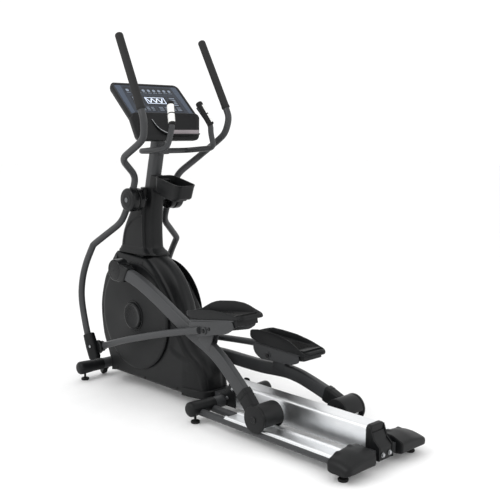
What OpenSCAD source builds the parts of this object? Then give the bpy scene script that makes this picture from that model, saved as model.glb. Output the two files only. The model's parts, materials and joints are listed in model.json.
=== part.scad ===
// Elliptical trainer with a rear roller track: base, drive, swing arms, pedals and console.
// +X is the user's right, +Y the front that the user faces and +Z up. The origin is on the
// floor, under the middle of the machine's length and width. Lengths are in millimetres.
// A piece with a side is drawn on the right and mirrored to the left, and side is 1 or -1.

/* [Base] */
// Front levelling foot to middle levelling foot, along Y
drive_base = 913; // [800:1:1100]
// Middle levelling foot to rear levelling foot, along Y
rail_base = 897; // [750:1:1080]
// Levelling foot to the centre plane, along X
foot_x = 231; // [215:1:280]
// Outer face of the end caps to the centre plane
cap_x = 262; // [255:1:330]
// Height of the front and middle cross tubes above the floor
cross_z = 70; // [60:1:85]
// Outer radius of the front and middle cross tubes
cross_r = 29; // [22:1:34]
// Radius of a levelling foot
foot_r = 21; // [17:1:25]
// Radius of a transport wheel
wheel_r = 22; // [18:1:25]

/* [Rails] */
// Height of a rail tube's axis
rail_z = 54; // [46:1:58]
// Outer radius of a rail tube
rail_r = 17; // [14:1:20]
// Inner ridge of a track to the centre plane
ridge_in_x = 125; // [120:1:130]
// Outer ridge of a track to the centre plane
ridge_out_x = 202; // [197:1:207]
// Radius of a track's rounded ridge
ridge_r = 8; // [6:1:10]
// Front end of the tracks, behind the middle foot
track_start = 195; // [150:1:234]
// Half width of the centre beam
beam_half = 45; // [36:1:54]
// Top of the centre beam above the floor
beam_top = 172; // [150:1:200]
// Front end of the centre beam, behind the middle foot
beam_start = 62; // [50:1:75]

/* [Crank and drive] */
// Crank hub behind the front foot, along Y
hub_back = 298; // [290:1:345]
// Height of the crank hub
hub_z = 396; // [380:1:450]
// Crank radius, hub to pin
crank_r = 250; // [208:1:260]
// Angle of the left crank at rest, up from the forward direction
crank_deg = 83; // [60:1:110]
// Radius of the round side discs
disc_r = 282; // [270:1:290]
// Radius of the crank axle
axle_r = 12.5; // [10:0.5:15]
// Radius of a crank pin
pin_r = 10; // [8:0.5:12]
// Outer radius of the large belt pulley
pulley_r = 160; // [130:1:170]
// Radius of the flywheel's belt groove
small_pulley_r = 24; // [20:1:29]
// Radius of the flywheel
flywheel_r = 125; // [100:1:135]

/* [Main arm and rollers] */
// Crank pin to roller axle
arm_len = 1172; // [1120:1:1230]
// Depth of the main arm's rectangular tube
arm_depth = 64; // [54:1:70]
// Width of the main arm's rectangular tube
arm_w = 38; // [32:1:42]
// Centre plane of the main arm, along X
arm_x = 191; // [188:1:194]
// Radius of a track roller
roller_r = 39.7; // [36:0.1:45]
// Radius of the roller axle
roller_axle_r = 8; // [6.5:0.1:9.6]
// Roller axle to pedal pivot, along the arm's chord
pivot_along = 430; // [400:1:470]
// Pedal pivot above the arm's chord
pivot_rise = 165; // [150:1:180]
// Radius of the pedal pivot pin
pedal_pin_r = 9; // [7.5:0.1:10.8]

/* [Pedals] */
// Length of the pedal link, pedal pivot to knuckle
link_len = 865; // [850:1:880]
// Outer radius of the pedal link's tube
link_r = 17; // [14:1:20]
// Centre plane of the pedal link's tube, along X
link_x = 241; // [239:1:245]
// Length of a foot pedal
pedal_len = 392; // [330:1:400]
// Width of a foot pedal
pedal_w = 150; // [130:1:175]
// Nose-up tilt of the foot pedal on its link
pedal_tilt = 7; // [3:0.5:10]

/* [Swing arms and mast] */
// Swing arm pivot behind the front foot, along Y
swing_back = 320; // [300:1:345]
// Height of the swing arm pivot
swing_z = 1005; // [980:1:1040]
// Swing arm pivot to knuckle
swing_len = 789; // [775:1:815]
// Outer radius of the swing arm tubes
swing_r = 17; // [14:1:20]
// Centre plane of the hand grips and lower swing tubes
swing_x = 276; // [270:1:300]
// Outer radius of the hand grips
grip_r = 20; // [17:1:24]
// Radius of the swing arms' common axle
swing_axle_r = 12.5; // [10:0.5:15]
// Backward lean of the mast, in degrees
mast_lean = 13.5; // [8:0.5:16]
// Top of the mast above the floor
mast_top = 1335; // [1300:1:1360]

/* [Console and handlebar] */
// Half width of the console
console_half = 214; // [190:1:225]
// Length of the console's display face
face_len = 262; // [230:1:300]
// Tilt of the display face from level, in degrees
face_tilt = 43.6; // [35:0.1:55]
// Outer radius of the fixed handlebar's tube
bar_r = 14; // [11.7:0.1:16.8]
// Half width of the bottle holder
holder_half = 62; // [54:1:70]

/* [Hidden] */
$fn = 48;
eps = 0.01;

// Radial clearance of a running fit, and the gap between bodies that pass each other
run_gap = 0.05;
pass_gap = 0.3;
tube_sides = 20;
bend_steps = 5;

// Wall of the welded steel tubes
tube_wall = 3;

// Colours
paint = "#4b4c4e";
black = "#2a2a2b";
rubber = "#222222";
alloy = "#c9cacc";
steel = "#9a9b9d";
slate = "#5f6878";
white = "#e6e6e4";

// Feet, along Y; the wheels reach front_over past the front foot, the rear caps rear_over
wheel_gap = 2;
wheel_z = wheel_r + 2;
wheel_ahead = cross_r + sqrt(pow(cross_r + wheel_r + wheel_gap, 2) - pow(cross_z - wheel_z, 2));
front_over = wheel_ahead + wheel_r;
rear_over = 60;
front_y = (drive_base + rail_base - front_over + rear_over) / 2;
mid_y = front_y - drive_base;
rear_y = mid_y - rail_base;

// Layers across the machine, from the centre plane out
plate_x = 44;
plate_t = 6;
shell_x = 105;
shell_t = 3;
crank_in_x = 108;
crank_t = 8;
disc_in_x = 107;
disc_out_x = 121;
hub_cap_x = 133;
cover_in_x = 156;
cover_out_x = 217;
wall_in_x = 101;
wall_t = 5;
wall_out_x = 222;
pedal_x = 163;

// Rear end caps
rear_cap_in_x = 84;
rear_cap_front = 62;
rear_cap_top = 104;
rear_cap_bottom = 38;
rear_tube_half = 25;
rear_tube_z = [42, 82];

// Heights
track_z = rail_z + rail_r + 1;
ridge_top = track_z + ridge_r;
roller_z = ridge_top + roller_r + pass_gap;
foot_h = 12;
stud_r = 6;

// Linkage, solved in the Y and Z plane
hub = [front_y - hub_back, hub_z];
swing = [front_y - swing_back, swing_z];

function unit(v) = v / norm(v);
function turn(v, a) = [v[0] * cos(a) - v[1] * sin(a), v[0] * sin(a) + v[1] * cos(a)];
function crank_angle(side) = crank_deg + (side > 0 ? 180 : 0);
function crank_pin(side) = hub + crank_r * [cos(crank_angle(side)), sin(crank_angle(side))];
function roller_at(side) =
    let (p = crank_pin(side)) [p[0] - sqrt(pow(arm_len, 2) - pow(p[1] - roller_z, 2)), roller_z];
function arm_angle(side) =
    let (d = crank_pin(side) - roller_at(side)) atan2(d[1], d[0]);
function pedal_at(side) = roller_at(side) + turn([pivot_along, pivot_rise], arm_angle(side));
// Lower, forward crossing of the swing arm's circle and the pedal link's circle
function knuckle_at(side) =
    let (
        p = pedal_at(side),
        d = norm(swing - p),
        a = (pow(link_len, 2) - pow(swing_len, 2) + d * d) / (2 * d),
        h = sqrt(pow(link_len, 2) - a * a),
        e = unit(swing - p)
    ) p + a * e + h * [e[1], -e[0]];
function swing_angle(side) =
    let (k = knuckle_at(side) - swing) atan2(k[0], -k[1]);
function link_angle(side) =
    let (d = knuckle_at(side) - pedal_at(side)) atan2(d[1], d[0]);

// Smooth curve through a list of points, with n steps between neighbours
function lerp_spline(a, b, c, d, t) =
    0.5 * (2 * b + (c - a) * t + (2 * a - 5 * b + 4 * c - d) * t * t
        + (3 * b - a - 3 * c + d) * t * t * t);
function spline(p, n) = [
    for (i = [0 : len(p) - 2], k = [0 : n - 1])
        lerp_spline(p[max(i - 1, 0)], p[i], p[i + 1], p[min(i + 2, len(p) - 1)], k / n),
    p[len(p) - 1]
];
// A path with its corners rounded over a distance d each way
function bend(p, d) = [
    p[0],
    for (i = [1 : len(p) - 2], k = [0 : bend_steps])
        let (
            t = k / bend_steps,
            a = p[i] + unit(p[i - 1] - p[i]) * min(d, norm(p[i - 1] - p[i]) / 2.1),
            b = p[i] + unit(p[i + 1] - p[i]) * min(d, norm(p[i + 1] - p[i]) / 2.1)
        ) (1 - t) * (1 - t) * a + 2 * t * (1 - t) * p[i] + t * t * b,
    p[len(p) - 1]
];
function tangent(p, i) = unit(p[min(i + 1, len(p) - 1)] - p[max(i - 1, 0)]);

// Round tube along a path; keep is a direction that no part of the path follows
module tube(path, r, keep = [1, 0.2, 0.1]) {
    n = len(path);
    rings = [
        for (i = [0 : n - 1])
            let (t = tangent(path, i), u = unit(cross(t, keep)), v = cross(t, u))
                for (k = [0 : tube_sides - 1])
                    path[i] + r * (cos(360 * k / tube_sides) * u + sin(360 * k / tube_sides) * v)
    ];
    sides = [
        for (i = [0 : n - 2], k = [0 : tube_sides - 1])
            let (j = (k + 1) % tube_sides, a = i * tube_sides, b = a + tube_sides)
                each [[a + k, b + k, a + j], [a + j, b + k, b + j]]
    ];
    ends = [
        [for (k = [0 : tube_sides - 1]) k],
        [for (k = [tube_sides - 1 : -1 : 0]) (n - 1) * tube_sides + k]
    ];
    polyhedron(rings, concat(ends, sides), convexity = 6);
}

// Cylinder along X between two planes
module rod_x(r, x0, x1, at) {
    translate([x0, at[0], at[1]]) rotate([0, 90, 0]) cylinder(r = r, h = x1 - x0);
}

// Outline in the Y and Z plane, drawn out along X between two planes
module slab_x(points, x0, x1) {
    translate([x0, 0, 0]) rotate([90, 0, 90]) linear_extrude(x1 - x0) polygon(points);
}

// Box between two corners
module box(a, b) {
    translate(a) cube(b - a);
}

// A child drawn on the right, put on its own side
module on_side(side) {
    mirror([side < 0 ? 1 : 0, 0, 0]) children();
}

module both_sides() {
    for (side = [-1, 1]) on_side(side) children();
}

// A child drawn about a point in the Y and Z plane, turned about X
module about(at, angle = 0) {
    translate([0, at[0], at[1]]) rotate([angle, 0, 0]) children();
}

// Rectangle with rounded corners
module round_rect(w, h, r) {
    polygon([
        for (c = [[1, 1, 0], [-1, 1, 90], [-1, -1, 180], [1, -1, 270]], k = [0 : 4])
            let (a = c[2] + 22.5 * k)
                [c[0] * (w / 2 - r) + r * cos(a), c[1] * (h / 2 - r) + r * sin(a)]
    ]);
}

// ---- Base ----

spine_half = 30;
spine_z = [42, 92];
mast_foot_z = 700;

function mast_y(z) = swing[0] + 16 - (z - swing_z) * tan(mast_lean);

// Side plates of the drive frame, hub and flywheel axle included
plate_outline = [
    [hub[0] - 425, spine_z[0]], [hub[0] + 230, spine_z[0]], [hub[0] + 215, hub_z],
    [mast_y(mast_foot_z) + 44, mast_foot_z + 60], [mast_y(mast_foot_z) - 44, mast_foot_z + 60],
    [hub[0] - 60, hub_z + 110], [hub[0] - 320, hub_z - 60], [hub[0] - 425, hub_z - 150]
];
bearing_r = 26;
flywheel_at = hub + [-250, -130];
flywheel_axle_r = 8;
brake_at = flywheel_at + [-flywheel_r - 22, -30];
brake_pin_r = 5;

module main_frame() {
    color(paint) difference() {
        union() {
            difference() {
                box([-spine_half, mid_y, spine_z[0]], [spine_half, front_y, spine_z[1]]);
                box([-spine_half + tube_wall, mid_y + cross_r, spine_z[0] + tube_wall],
                    [spine_half - tube_wall, front_y + 1, spine_z[1] - tube_wall]);
            }
            rod_x(cross_r, -foot_x, foot_x, [mid_y, cross_z]);
            both_sides() slab_x(plate_outline, plate_x, plate_x + plate_t);
            rod_x(brake_pin_r, -plate_x - eps, plate_x + eps, brake_at + [-5, 0]);
            both_sides() box([spine_half - eps, hub[0] - 390, spine_z[0]],
                [plate_x + eps, hub[0] + 220, spine_z[0] + plate_t]);
            box([-plate_x - eps, mast_y(mast_foot_z) - 36, mast_foot_z - 20],
                [plate_x + eps, mast_y(mast_foot_z) + 36, mast_foot_z]);
        }
        rod_x(bearing_r, -shell_x, shell_x, hub);
        rod_x(flywheel_axle_r + run_gap, -shell_x, shell_x, flywheel_at);
        for (x = [-foot_x - 1, spine_half])
            rod_x(cross_r - tube_wall, x, x + foot_x + 1 - spine_half, [mid_y, cross_z]);
    }
}

wheel_x = 80;
wheel_at = [front_y + wheel_ahead, wheel_z];
wheel_w = 24;
wheel_pin_r = 5;
ear_t = 4;
ear_gap = 1;
module front_stabilizer() {
    at = [front_y + cross_r, cross_z];
    ear_in = wheel_x - wheel_w / 2 - ear_gap - ear_t;
    ear_out = wheel_x + wheel_w / 2 + ear_gap;
    color(paint) difference() {
        union() {
            rod_x(cross_r, -foot_x, foot_x, at);
            both_sides() {
                for (x = [ear_in, ear_out]) hull() {
                    rod_x(cross_r - 8, x, x + ear_t, at);
                    rod_x(wheel_pin_r + 6, x, x + ear_t, wheel_at);
                }
                rod_x(wheel_pin_r, ear_in, ear_out + ear_t, wheel_at);
            }
        }
        rod_x(cross_r - tube_wall, -foot_x - 1, foot_x + 1, at);
    }
}

// Moulded caps on the front and middle cross tubes
cap_dome = 12;
cap_r = cross_r + 4;
module end_cap(at) {
    rod_x(cap_r, foot_x, cap_x - cap_dome, at);
    translate([cap_x - cap_dome, at[0], at[1]]) rotate([0, 90, 0])
        cylinder(r1 = cap_r, r2 = cap_r - 11, h = cap_dome);
}
module end_caps() {
    color(black) both_sides() {
        end_cap([front_y + cross_r, cross_z]);
        end_cap([mid_y, cross_z]);
    }
}

module rear_stabilizer() {
    end_x = foot_x + 8;
    color(paint) difference() {
        box([-end_x, rear_y - rear_tube_half, rear_tube_z[0]],
            [end_x, rear_y + rear_tube_half, rear_tube_z[1]]);
        box([-end_x - 1, rear_y - rear_tube_half + tube_wall, rear_tube_z[0] + tube_wall],
            [end_x + 1, rear_y + rear_tube_half - tube_wall, rear_tube_z[1] - tube_wall]);
    }
}

rear_cap_profile = [
    [rear_y - rear_over, rear_cap_bottom], [rear_y + rear_cap_front, rear_cap_bottom],
    [rear_y + rear_cap_front, rear_cap_top - 20], [rear_y + rear_cap_front - 14, rear_cap_top - 5],
    [rear_y + rear_cap_front - 34, rear_cap_top], [rear_y + 4, rear_cap_top],
    [rear_y - 30, rear_cap_top - 14], [rear_y - rear_over, rear_cap_top - 46]
];
module rear_end_caps() {
    cavity_top = ridge_top + 4;
    color(black) both_sides() difference() {
        slab_x(rear_cap_profile, rear_cap_in_x, cap_x);
        box([rear_cap_in_x - 1, rear_y - rear_tube_half - 1, rear_cap_bottom - 1],
            [cap_x - 14, rear_y + rear_cap_front + 1, cavity_top]);
    }
}

module levelling_feet() {
    color(rubber) both_sides() {
        for (y = [rear_y, mid_y]) translate([foot_x - 12, y, 0]) {
            cylinder(r = foot_r, h = foot_h);
            cylinder(r = stud_r, h = (y == rear_y ? rear_tube_z[0] : cross_z - cross_r) + 2);
        }
        translate([foot_x - 12, front_y + cross_r, 0]) {
            cylinder(r = foot_r, h = foot_h);
            cylinder(r = stud_r, h = cross_z - cross_r + 2);
        }
    }
}

module base_rails() {
    color(paint) both_sides() for (x = [ridge_in_x, ridge_out_x])
        translate([x, rear_y + rear_tube_half, rail_z]) rotate([-90, 0, 0])
            difference() {
                cylinder(r = rail_r, h = mid_y - cross_r + 8 - rear_y - rear_tube_half);
                translate([0, 0, -1]) cylinder(r = rail_r - 2.5, h = rail_base + 2);
            }
}

// Aluminium extrusion with two rounded ridges on a flat web
track_web_t = 4;
track_lip = 4;
module tracks() {
    y0 = rear_y + rear_tube_half;
    y1 = mid_y - track_start;
    color(alloy) both_sides() difference() {
        union() {
            box([ridge_in_x - ridge_r - track_lip, y0, track_z - track_web_t],
                [ridge_out_x + ridge_r + track_lip, y1, track_z]);
            for (x = [ridge_in_x, ridge_out_x]) translate([x, y0, track_z - eps])
                rotate([-90, 0, 0]) cylinder(r = ridge_r, h = y1 - y0);
        }
        for (x = [ridge_in_x, ridge_out_x]) translate([x, y0 - 1, rail_z])
            rotate([-90, 0, 0]) cylinder(r = rail_r, h = y1 - y0 + 2);
    }
}

beam_bottom = 50;
beam_wall = 4;
beam_corner = 14;
beam_y = [rear_y + rear_tube_half, mid_y - beam_start];
module centre_beam() {
    h = beam_top - beam_bottom;
    color(alloy) translate([0, beam_y[1], beam_bottom + h / 2]) rotate([90, 0, 0])
        linear_extrude(beam_y[1] - beam_y[0]) difference() {
            round_rect(2 * beam_half, h, beam_corner);
            round_rect(2 * (beam_half - beam_wall), h - 2 * beam_wall, beam_corner - beam_wall);
        }
}

// Black bracket that closes the beam's rear end and bolts to the rear cross tube
bracket_t = 16;
bracket_lip = 12;
bracket_bolts = [-16, 16];
module beam_bracket() {
    y1 = beam_y[0];
    color(black) {
        slab_x([
            [y1, rear_tube_z[1]], [y1, beam_top + 2], [y1 - 6, beam_top + 4],
            [y1 - bracket_t, beam_top - 4], [y1 - bracket_t - 10, rear_tube_z[1] + 24],
            [rear_y - rear_tube_half - bracket_lip, rear_tube_z[1] + 8],
            [rear_y - rear_tube_half - bracket_lip, rear_tube_z[0]],
            [rear_y - rear_tube_half, rear_tube_z[0]], [rear_y - rear_tube_half, rear_tube_z[1]]
        ], -beam_half - 2, beam_half + 2);
    }
}

bolt_r = 7;
bolt_h = 5;
bracket_bolt_z = 62;
cover_bolts = [[hub[0] - 60, 76], [hub[0] - 300, 76]];
module frame_bolts() {
    color(steel) {
        for (x = bracket_bolts)
            translate([x, rear_y - rear_tube_half - bracket_lip, bracket_bolt_z])
                rotate([90, 0, 0]) cylinder(r = bolt_r, h = bolt_h);
        both_sides() for (p = cover_bolts) rod_x(bolt_r - 2, shell_x, shell_x + 3, p);
        for (x = [-1, 1]) translate([x * 17, mid_y - 40, spine_z[1]])
            cylinder(r = bolt_r, h = bolt_h);
    }
}

module transport_wheel(side) {
    color(rubber) on_side(side) difference() {
        rod_x(wheel_r, wheel_x - wheel_w / 2, wheel_x + wheel_w / 2, wheel_at);
        rod_x(wheel_pin_r + run_gap, wheel_x - wheel_w, wheel_x + wheel_w, wheel_at);
    }
}

// ---- Covers ----

// Side outline of the drive cover, round in front and stepped behind
shroud_outline = concat(
    spline([
        hub + [232, -341], hub + [276, -242], hub + [321, -136], hub + [333, 31],
        hub + [276, 206], hub + [205, 324]
    ], 5),
    spline([
        hub + [-44, 306], hub + [-122, 252], hub + [-204, 174], hub + [-276, 84]
    ], 5),
    spline([
        hub + [-324, 0], hub + [-406, -112], hub + [-470, -166], hub + [-506, -222],
        hub + [-514, -290], hub + [-500, -341]
    ], 4)
);
shroud_inner = concat(
    spline([
        hub + [225, -334], hub + [268, -242], hub + [313, -136], hub + [325, 31],
        hub + [269, 204], hub + [198, 316]
    ], 5),
    spline([
        hub + [-40, 299], hub + [-116, 245], hub + [-198, 167], hub + [-270, 80]
    ], 5),
    spline([
        hub + [-317, -4], hub + [-399, -118], hub + [-464, -172], hub + [-499, -226],
        hub + [-506, -288], hub + [-493, -334]
    ], 4)
);
// The rear of the drive cover narrows, seen from above
shroud_plan = [
    [-1, hub[0] - 520], [30, hub[0] - 516], [62, hub[0] - 480], [90, hub[0] - 438],
    [shell_x, hub[0] - 398], [shell_x, hub[0] + 340], [-1, hub[0] + 340]
];
// Rounded spine down the middle of the drive cover's back
spine_out = spline([
    hub + [-96, 322], hub + [-186, 276], hub + [-262, 206], hub + [-318, 110],
    hub + [-348, 10], hub + [-390, -80]
], 4);
spine_half_x = 60;
spine_wall = 5;
seam_gap = 0.5;
// Half width of the opening left for the drive frame
frame_half = plate_x + plate_t + 2;
module shroud_half() {
    difference() {
        union() {
            intersection() {
                slab_x(shroud_outline, seam_gap / 2, shell_x);
                linear_extrude(swing_z) polygon(shroud_plan);
            }
            slab_x(concat(spine_out, [hub + [-300, -80], hub + [-40, 300]]),
                seam_gap / 2, spine_half_x);
        }
        intersection() {
            slab_x(shroud_inner, -1, shell_x - shell_t);
            translate([0, 2 * shell_t, 0]) linear_extrude(swing_z)
                polygon([for (p = shroud_plan) [min(p[0], shell_x - shell_t), p[1]]]);
        }
        slab_x([for (p = concat(spine_out, [hub + [-200, -80], hub + [-40, 290]]))
            p + [spine_wall, -spine_wall]], -1, spine_half_x - spine_wall);
        rod_x(axle_r + 3, 0, shell_x + 1, hub);
        box([-1, mid_y - 200, 0], [frame_half, front_y + 100, spine_z[1] + 1]);
        box([-1, mast_y(mast_foot_z) - 70, hub_z + 200],
            [frame_half, mast_y(mast_foot_z) + 70, swing_z]);
    }
}
module shroud_left() {
    color(black) on_side(-1) shroud_half();
}
module shroud_right() {
    color(black) on_side(1) shroud_half();
}

// Tall cover round the mast's foot, from the drive cover to the swing pivot
neck_half = 70;
neck_low = hub_z + 326;
neck_outline = spline([
    hub + [205, 326], hub + [178, 430], hub + [112, 540], hub + [46, 620], hub + [20, 669],
    hub + [-76, 669], hub + [-76, 610], hub + [-62, 500], hub + [-62, 380],
    hub + [-92, 326]
], 4);
// The rear of the cover narrows, seen from above
neck_plan = [
    [-neck_half, hub[0] + 300], [-neck_half, hub[0] - 10], [-44, hub[0] - 80],
    [44, hub[0] - 80], [neck_half, hub[0] - 10], [neck_half, hub[0] + 300]
];
neck_inner = spline([
    hub + [197, 325], hub + [170, 427], hub + [105, 534], hub + [40, 615], hub + [15, 662],
    hub + [-71, 662], hub + [-68, 608], hub + [-54, 500], hub + [-54, 382],
    hub + [-82, 325]
], 4);
module neck_cover() {
    color(black) difference() {
        intersection() {
            slab_x(neck_outline, -neck_half, neck_half);
            linear_extrude(swing_z + 200) polygon(neck_plan);
        }
        intersection() {
            slab_x(neck_inner, -neck_half + 3, neck_half - 3);
            translate([0, 4, 0]) linear_extrude(swing_z + 200)
                polygon([for (p = neck_plan) [p[0] * (1 - 3 / neck_half), p[1]]]);
        }
        rod_x(swing_axle_r + 12, -neck_half - 1, neck_half + 1, swing);
        mast_shape(1.5);
        box([-neck_half, hub[0] - 300, 0], [neck_half, front_y, neck_low]);
    }
}

// ---- Mast ----

mast_half = [30, 40];
module mast_shape(grow = 0) {
    intersection() {
        translate([0, mast_y(0), 0]) rotate([mast_lean, 0, 0]) translate([0, 0, -100])
            linear_extrude(2000) round_rect(2 * (mast_half[0] + grow), 2 * (mast_half[1] + grow),
                26 + grow);
        box([-200, -200, mast_foot_z], [200, front_y, mast_top + grow]);
    }
}
module mast() {
    color(paint) difference() {
        union() {
            mast_shape();
            rod_x(swing_axle_r + 10, -neck_half - 4, neck_half + 4, swing);
        }
        rod_x(swing_axle_r, -200, 200, swing);
    }
}

cover_x = [88, 165];
module swing_axle() {
    color(steel) rod_x(swing_axle_r, -cover_x[1] - 3, cover_x[1] + 3, swing);
}

// ---- Drive ----

module crank_bearings() {
    color(steel) both_sides() difference() {
        rod_x(bearing_r, plate_x - 3, plate_x + plate_t + 3, hub);
        rod_x(axle_r + run_gap, plate_x - 4, plate_x + plate_t + 4, hub);
    }
}
module crank_axle() {
    color(steel) rod_x(axle_r, -crank_in_x - crank_t, crank_in_x + crank_t, hub);
}

// Two cranks opposite each other, each with its pin
module crank_arms() {
    color(steel) for (side = [-1, 1]) on_side(side) difference() {
        union() {
            about(hub, crank_angle(side)) box([crank_in_x, 0, -18],
                [crank_in_x + crank_t, crank_r, 18]);
            rod_x(24, crank_in_x, crank_in_x + crank_t, hub);
            rod_x(24, crank_in_x, crank_in_x + crank_t, crank_pin(side));
            rod_x(pin_r, crank_in_x, cover_out_x - 10, crank_pin(side));
        }
        rod_x(axle_r, crank_in_x - 1, crank_in_x + crank_t + 1, hub);
    }
}

// Dished disc that hides the crank, with a hole for the pin
module crank_disc(side) {
    color(black) on_side(side) difference() {
        union() {
            rod_x(disc_r, disc_in_x, disc_out_x - 4, hub);
            translate([disc_out_x - 4, hub[0], hub[1]]) rotate([0, 90, 0])
                cylinder(r1 = disc_r, r2 = disc_r - 6, h = 4);
        }
        rod_x(disc_r - 4, disc_in_x - 1, disc_out_x - 4, hub);
        rod_x(pin_r + eps, 0, cover_out_x, crank_pin(side));
    }
}
hub_cap_r = 78;
module hub_caps() {
    color(black) both_sides() difference() {
        rod_x(hub_cap_r, disc_out_x, hub_cap_x, hub);
        rod_x(hub_cap_r - 14, hub_cap_x - 3, hub_cap_x + 1, hub);
    }
}

pulley_half = 12;
module drive_pulley() {
    color(black) difference() {
        union() {
            rod_x(pulley_r, -pulley_half, pulley_half, hub);
            rod_x(30, -plate_x + 8, plate_x - 8, hub);
        }
        rod_x(axle_r, -100, 100, hub);
        for (a = [0 : 60 : 300])
            rod_x(30, -100, 100, hub + 95 * [cos(a), sin(a)]);
    }
}

// Flywheel with its belt groove and axle, turned from one shaft
module flywheel() {
    color(steel) {
        rod_x(flywheel_r, 15, 36, flywheel_at);
        rod_x(small_pulley_r, -pulley_half, 15, flywheel_at);
        rod_x(flywheel_axle_r, -plate_x - plate_t - 4, plate_x + plate_t + 4, flywheel_at);
    }
}

// Flat ribbed belt on the outer tangents of the two pulleys
belt_t = 3;
module belt_loop(grow, half) {
    d = norm(flywheel_at - hub);
    a = asin((pulley_r - small_pulley_r) / d);
    e = unit(hub - flywheel_at);
    corners = [[hub, pulley_r, 1], [flywheel_at, small_pulley_r, 1],
        [flywheel_at, small_pulley_r, -1], [hub, pulley_r, -1]];
    rod_x(pulley_r + grow, -half, half, hub);
    rod_x(small_pulley_r + grow, -half, half, flywheel_at);
    slab_x([for (c = corners)
        c[0] + (c[1] + grow) * turn([sin(a), c[2] * cos(a)], atan2(e[1], e[0]))], -half, half);
}
module drive_belt() {
    color(rubber) difference() {
        belt_loop(pass_gap + belt_t, pulley_half - 1);
        belt_loop(pass_gap, pulley_half);
    }
}

// Eddy-current brake: a forked holder whose magnets straddle the flywheel's rim
module brake_bracket() {
    rim = flywheel_at + [-flywheel_r + 4, -30];
    color(steel) difference() {
        union() {
            box([4, brake_at[0] - 14, brake_at[1] - 12], [42, brake_at[0] + 8, brake_at[1] + 12]);
            for (x = [4, 38]) box([x, brake_at[0], brake_at[1] - 12],
                [x + 4, rim[0] + 20, brake_at[1] + 12]);
        }
        rod_x(brake_pin_r + run_gap, 0, 60, brake_at + [-5, 0]);
    }
}

module power_inlet() {
    color(black) translate([-60, front_y + 2, cross_z]) rotate([-90, 0, 0]) {
        difference() {
            translate([-14, -10, 0]) cube([28, 20, 2]);
            translate([-10, -7, 1]) cube([20, 14, 2]);
        }
    }
}

// ---- Console, fixed handlebar and bottle holder ----

face_foot = [mast_y(mast_top) - 68, mast_top + 77];
lip_tilt = 76.7;
lip_len = 95;
console_t = 40;
bezel_t = 10;
panel_t = 2.5;
console_r = 26;

module console_plate(t, z0, inset) {
    about(face_foot, face_tilt) translate([0, face_len / 2, z0]) linear_extrude(t)
        round_rect(2 * console_half - 2 * inset, face_len - 2 * inset, console_r - inset / 2);
}
module console_lip(t, z0, inset) {
    about(face_foot, lip_tilt) translate([0, -lip_len / 2 + 16, z0]) linear_extrude(t)
        round_rect(2 * console_half - 34 - 2 * inset, lip_len + 32 - 2 * inset, 20);
}
module console_back() {
    color(black) difference() {
        union() {
            console_plate(console_t - bezel_t, -console_t, 0);
            console_lip(console_t - bezel_t, -console_t, 0);
        }
        console_plate(console_t, 4 - console_t, 6);
        console_plate(bezel_t + eps, -bezel_t, -30);
        console_lip(bezel_t + eps, -bezel_t, -30);
    }
}
ledge_w = 240;
ledge_d = 30;
module console_front() {
    color(black) difference() {
        union() {
            console_plate(bezel_t, -bezel_t, 0);
            console_lip(bezel_t, -bezel_t, 0);
            about(face_foot, lip_tilt) box([-ledge_w / 2, -lip_len + 12, -eps],
                [ledge_w / 2, -lip_len + 17, ledge_d]);
        }
        console_plate(panel_t + eps, -panel_t, 16);
    }
}
module display_panel() {
    color(slate) console_plate(panel_t, -panel_t, 16 + pass_gap);
}

// Bar behind the mast with two arms that turn back and then up to the fixed grips
bar_y = mast_y(1252) - mast_half[1] - bar_r + 4;
bar_pts = [[150, bar_y, 1252], [148, bar_y - 225, 1268], [126, bar_y - 225, 1340],
    [121, bar_y - 232, 1383]];
grip_end = [88, bar_y - 178, 1489];
module fixed_handlebar() {
    arm = [for (p = bar_pts) p];
    path = concat([for (i = [len(arm) - 1 : -1 : 0]) [-arm[i][0], arm[i][1], arm[i][2]]], arm);
    color(paint) tube(bend(path, 42), bar_r, [0.5, 0.6, 0.62]);
}
function grip_line(t) = bar_pts[3] + t * (grip_end - bar_pts[3]);
module fixed_grips() {
    color(rubber) both_sides() difference() {
        tube([grip_line(0.002), grip_line(0.5), grip_line(1)], bar_r + 4);
        plate_cut(1);
    }
}
// Half shells on the outer face of each fixed grip
module plate_cut(grow) {
    d = grip_end - bar_pts[3];
    for (t = [0.1, 0.52])
        translate(grip_line(t)) rotate([0, acos(d[2] / norm(d)), atan2(d[1], d[0])])
            translate([0, 0, -grow / 2]) difference() {
                cylinder(r = bar_r + 5, h = 0.38 * norm(d) + grow);
                translate([0, 0, -1]) cylinder(r = bar_r + 2.5 - grow / 4, h = norm(d));
                translate([-50, -50, -1]) cube([100, 50 - 2 - grow / 2, norm(d)]);
            }
}
module pulse_plates() {
    color(white) both_sides() plate_cut(0);
}

holder_top = 1128;
holder_h = 96;
holder_len = 196;
saddle_h = 46;
module bottle_holder() {
    wall = 4;
    front = mast_y(holder_top) - mast_half[1] + 2;
    module outline(grow) {
        translate([0, -holder_len / 2]) round_rect(2 * (holder_half + grow),
            holder_len + 2 * grow, 30 + grow);
    }
    color(black) difference() {
        translate([0, front - 44, holder_top]) rotate([mast_lean, 0, 0]) difference() {
            union() {
                translate([0, 0, -holder_h]) linear_extrude(holder_h) outline(0);
                translate([-26, -30, -saddle_h]) cube([52, 74, saddle_h - 12]);
            }
            translate([0, 0, -holder_h + wall]) linear_extrude(holder_h) outline(-wall);
        }
        mast_shape();
    }
}

// ---- Swing arms: handle, grip, pivot cover, lower tube and boot ----

// The arm's shape is drawn at this angle and then turned to its own
swing_mean = 9.4;
knuckle_mean = swing_len * [sin(swing_mean), -cos(swing_mean)];
cover_r = 56;
cover_mid = (cover_x[0] + cover_x[1]) / 2;
knuckle_pin_r = 8;
knuckle_gap = 13;
eye_r = 28;
eye_x = [228, 247];
boot_r = 26;

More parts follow.
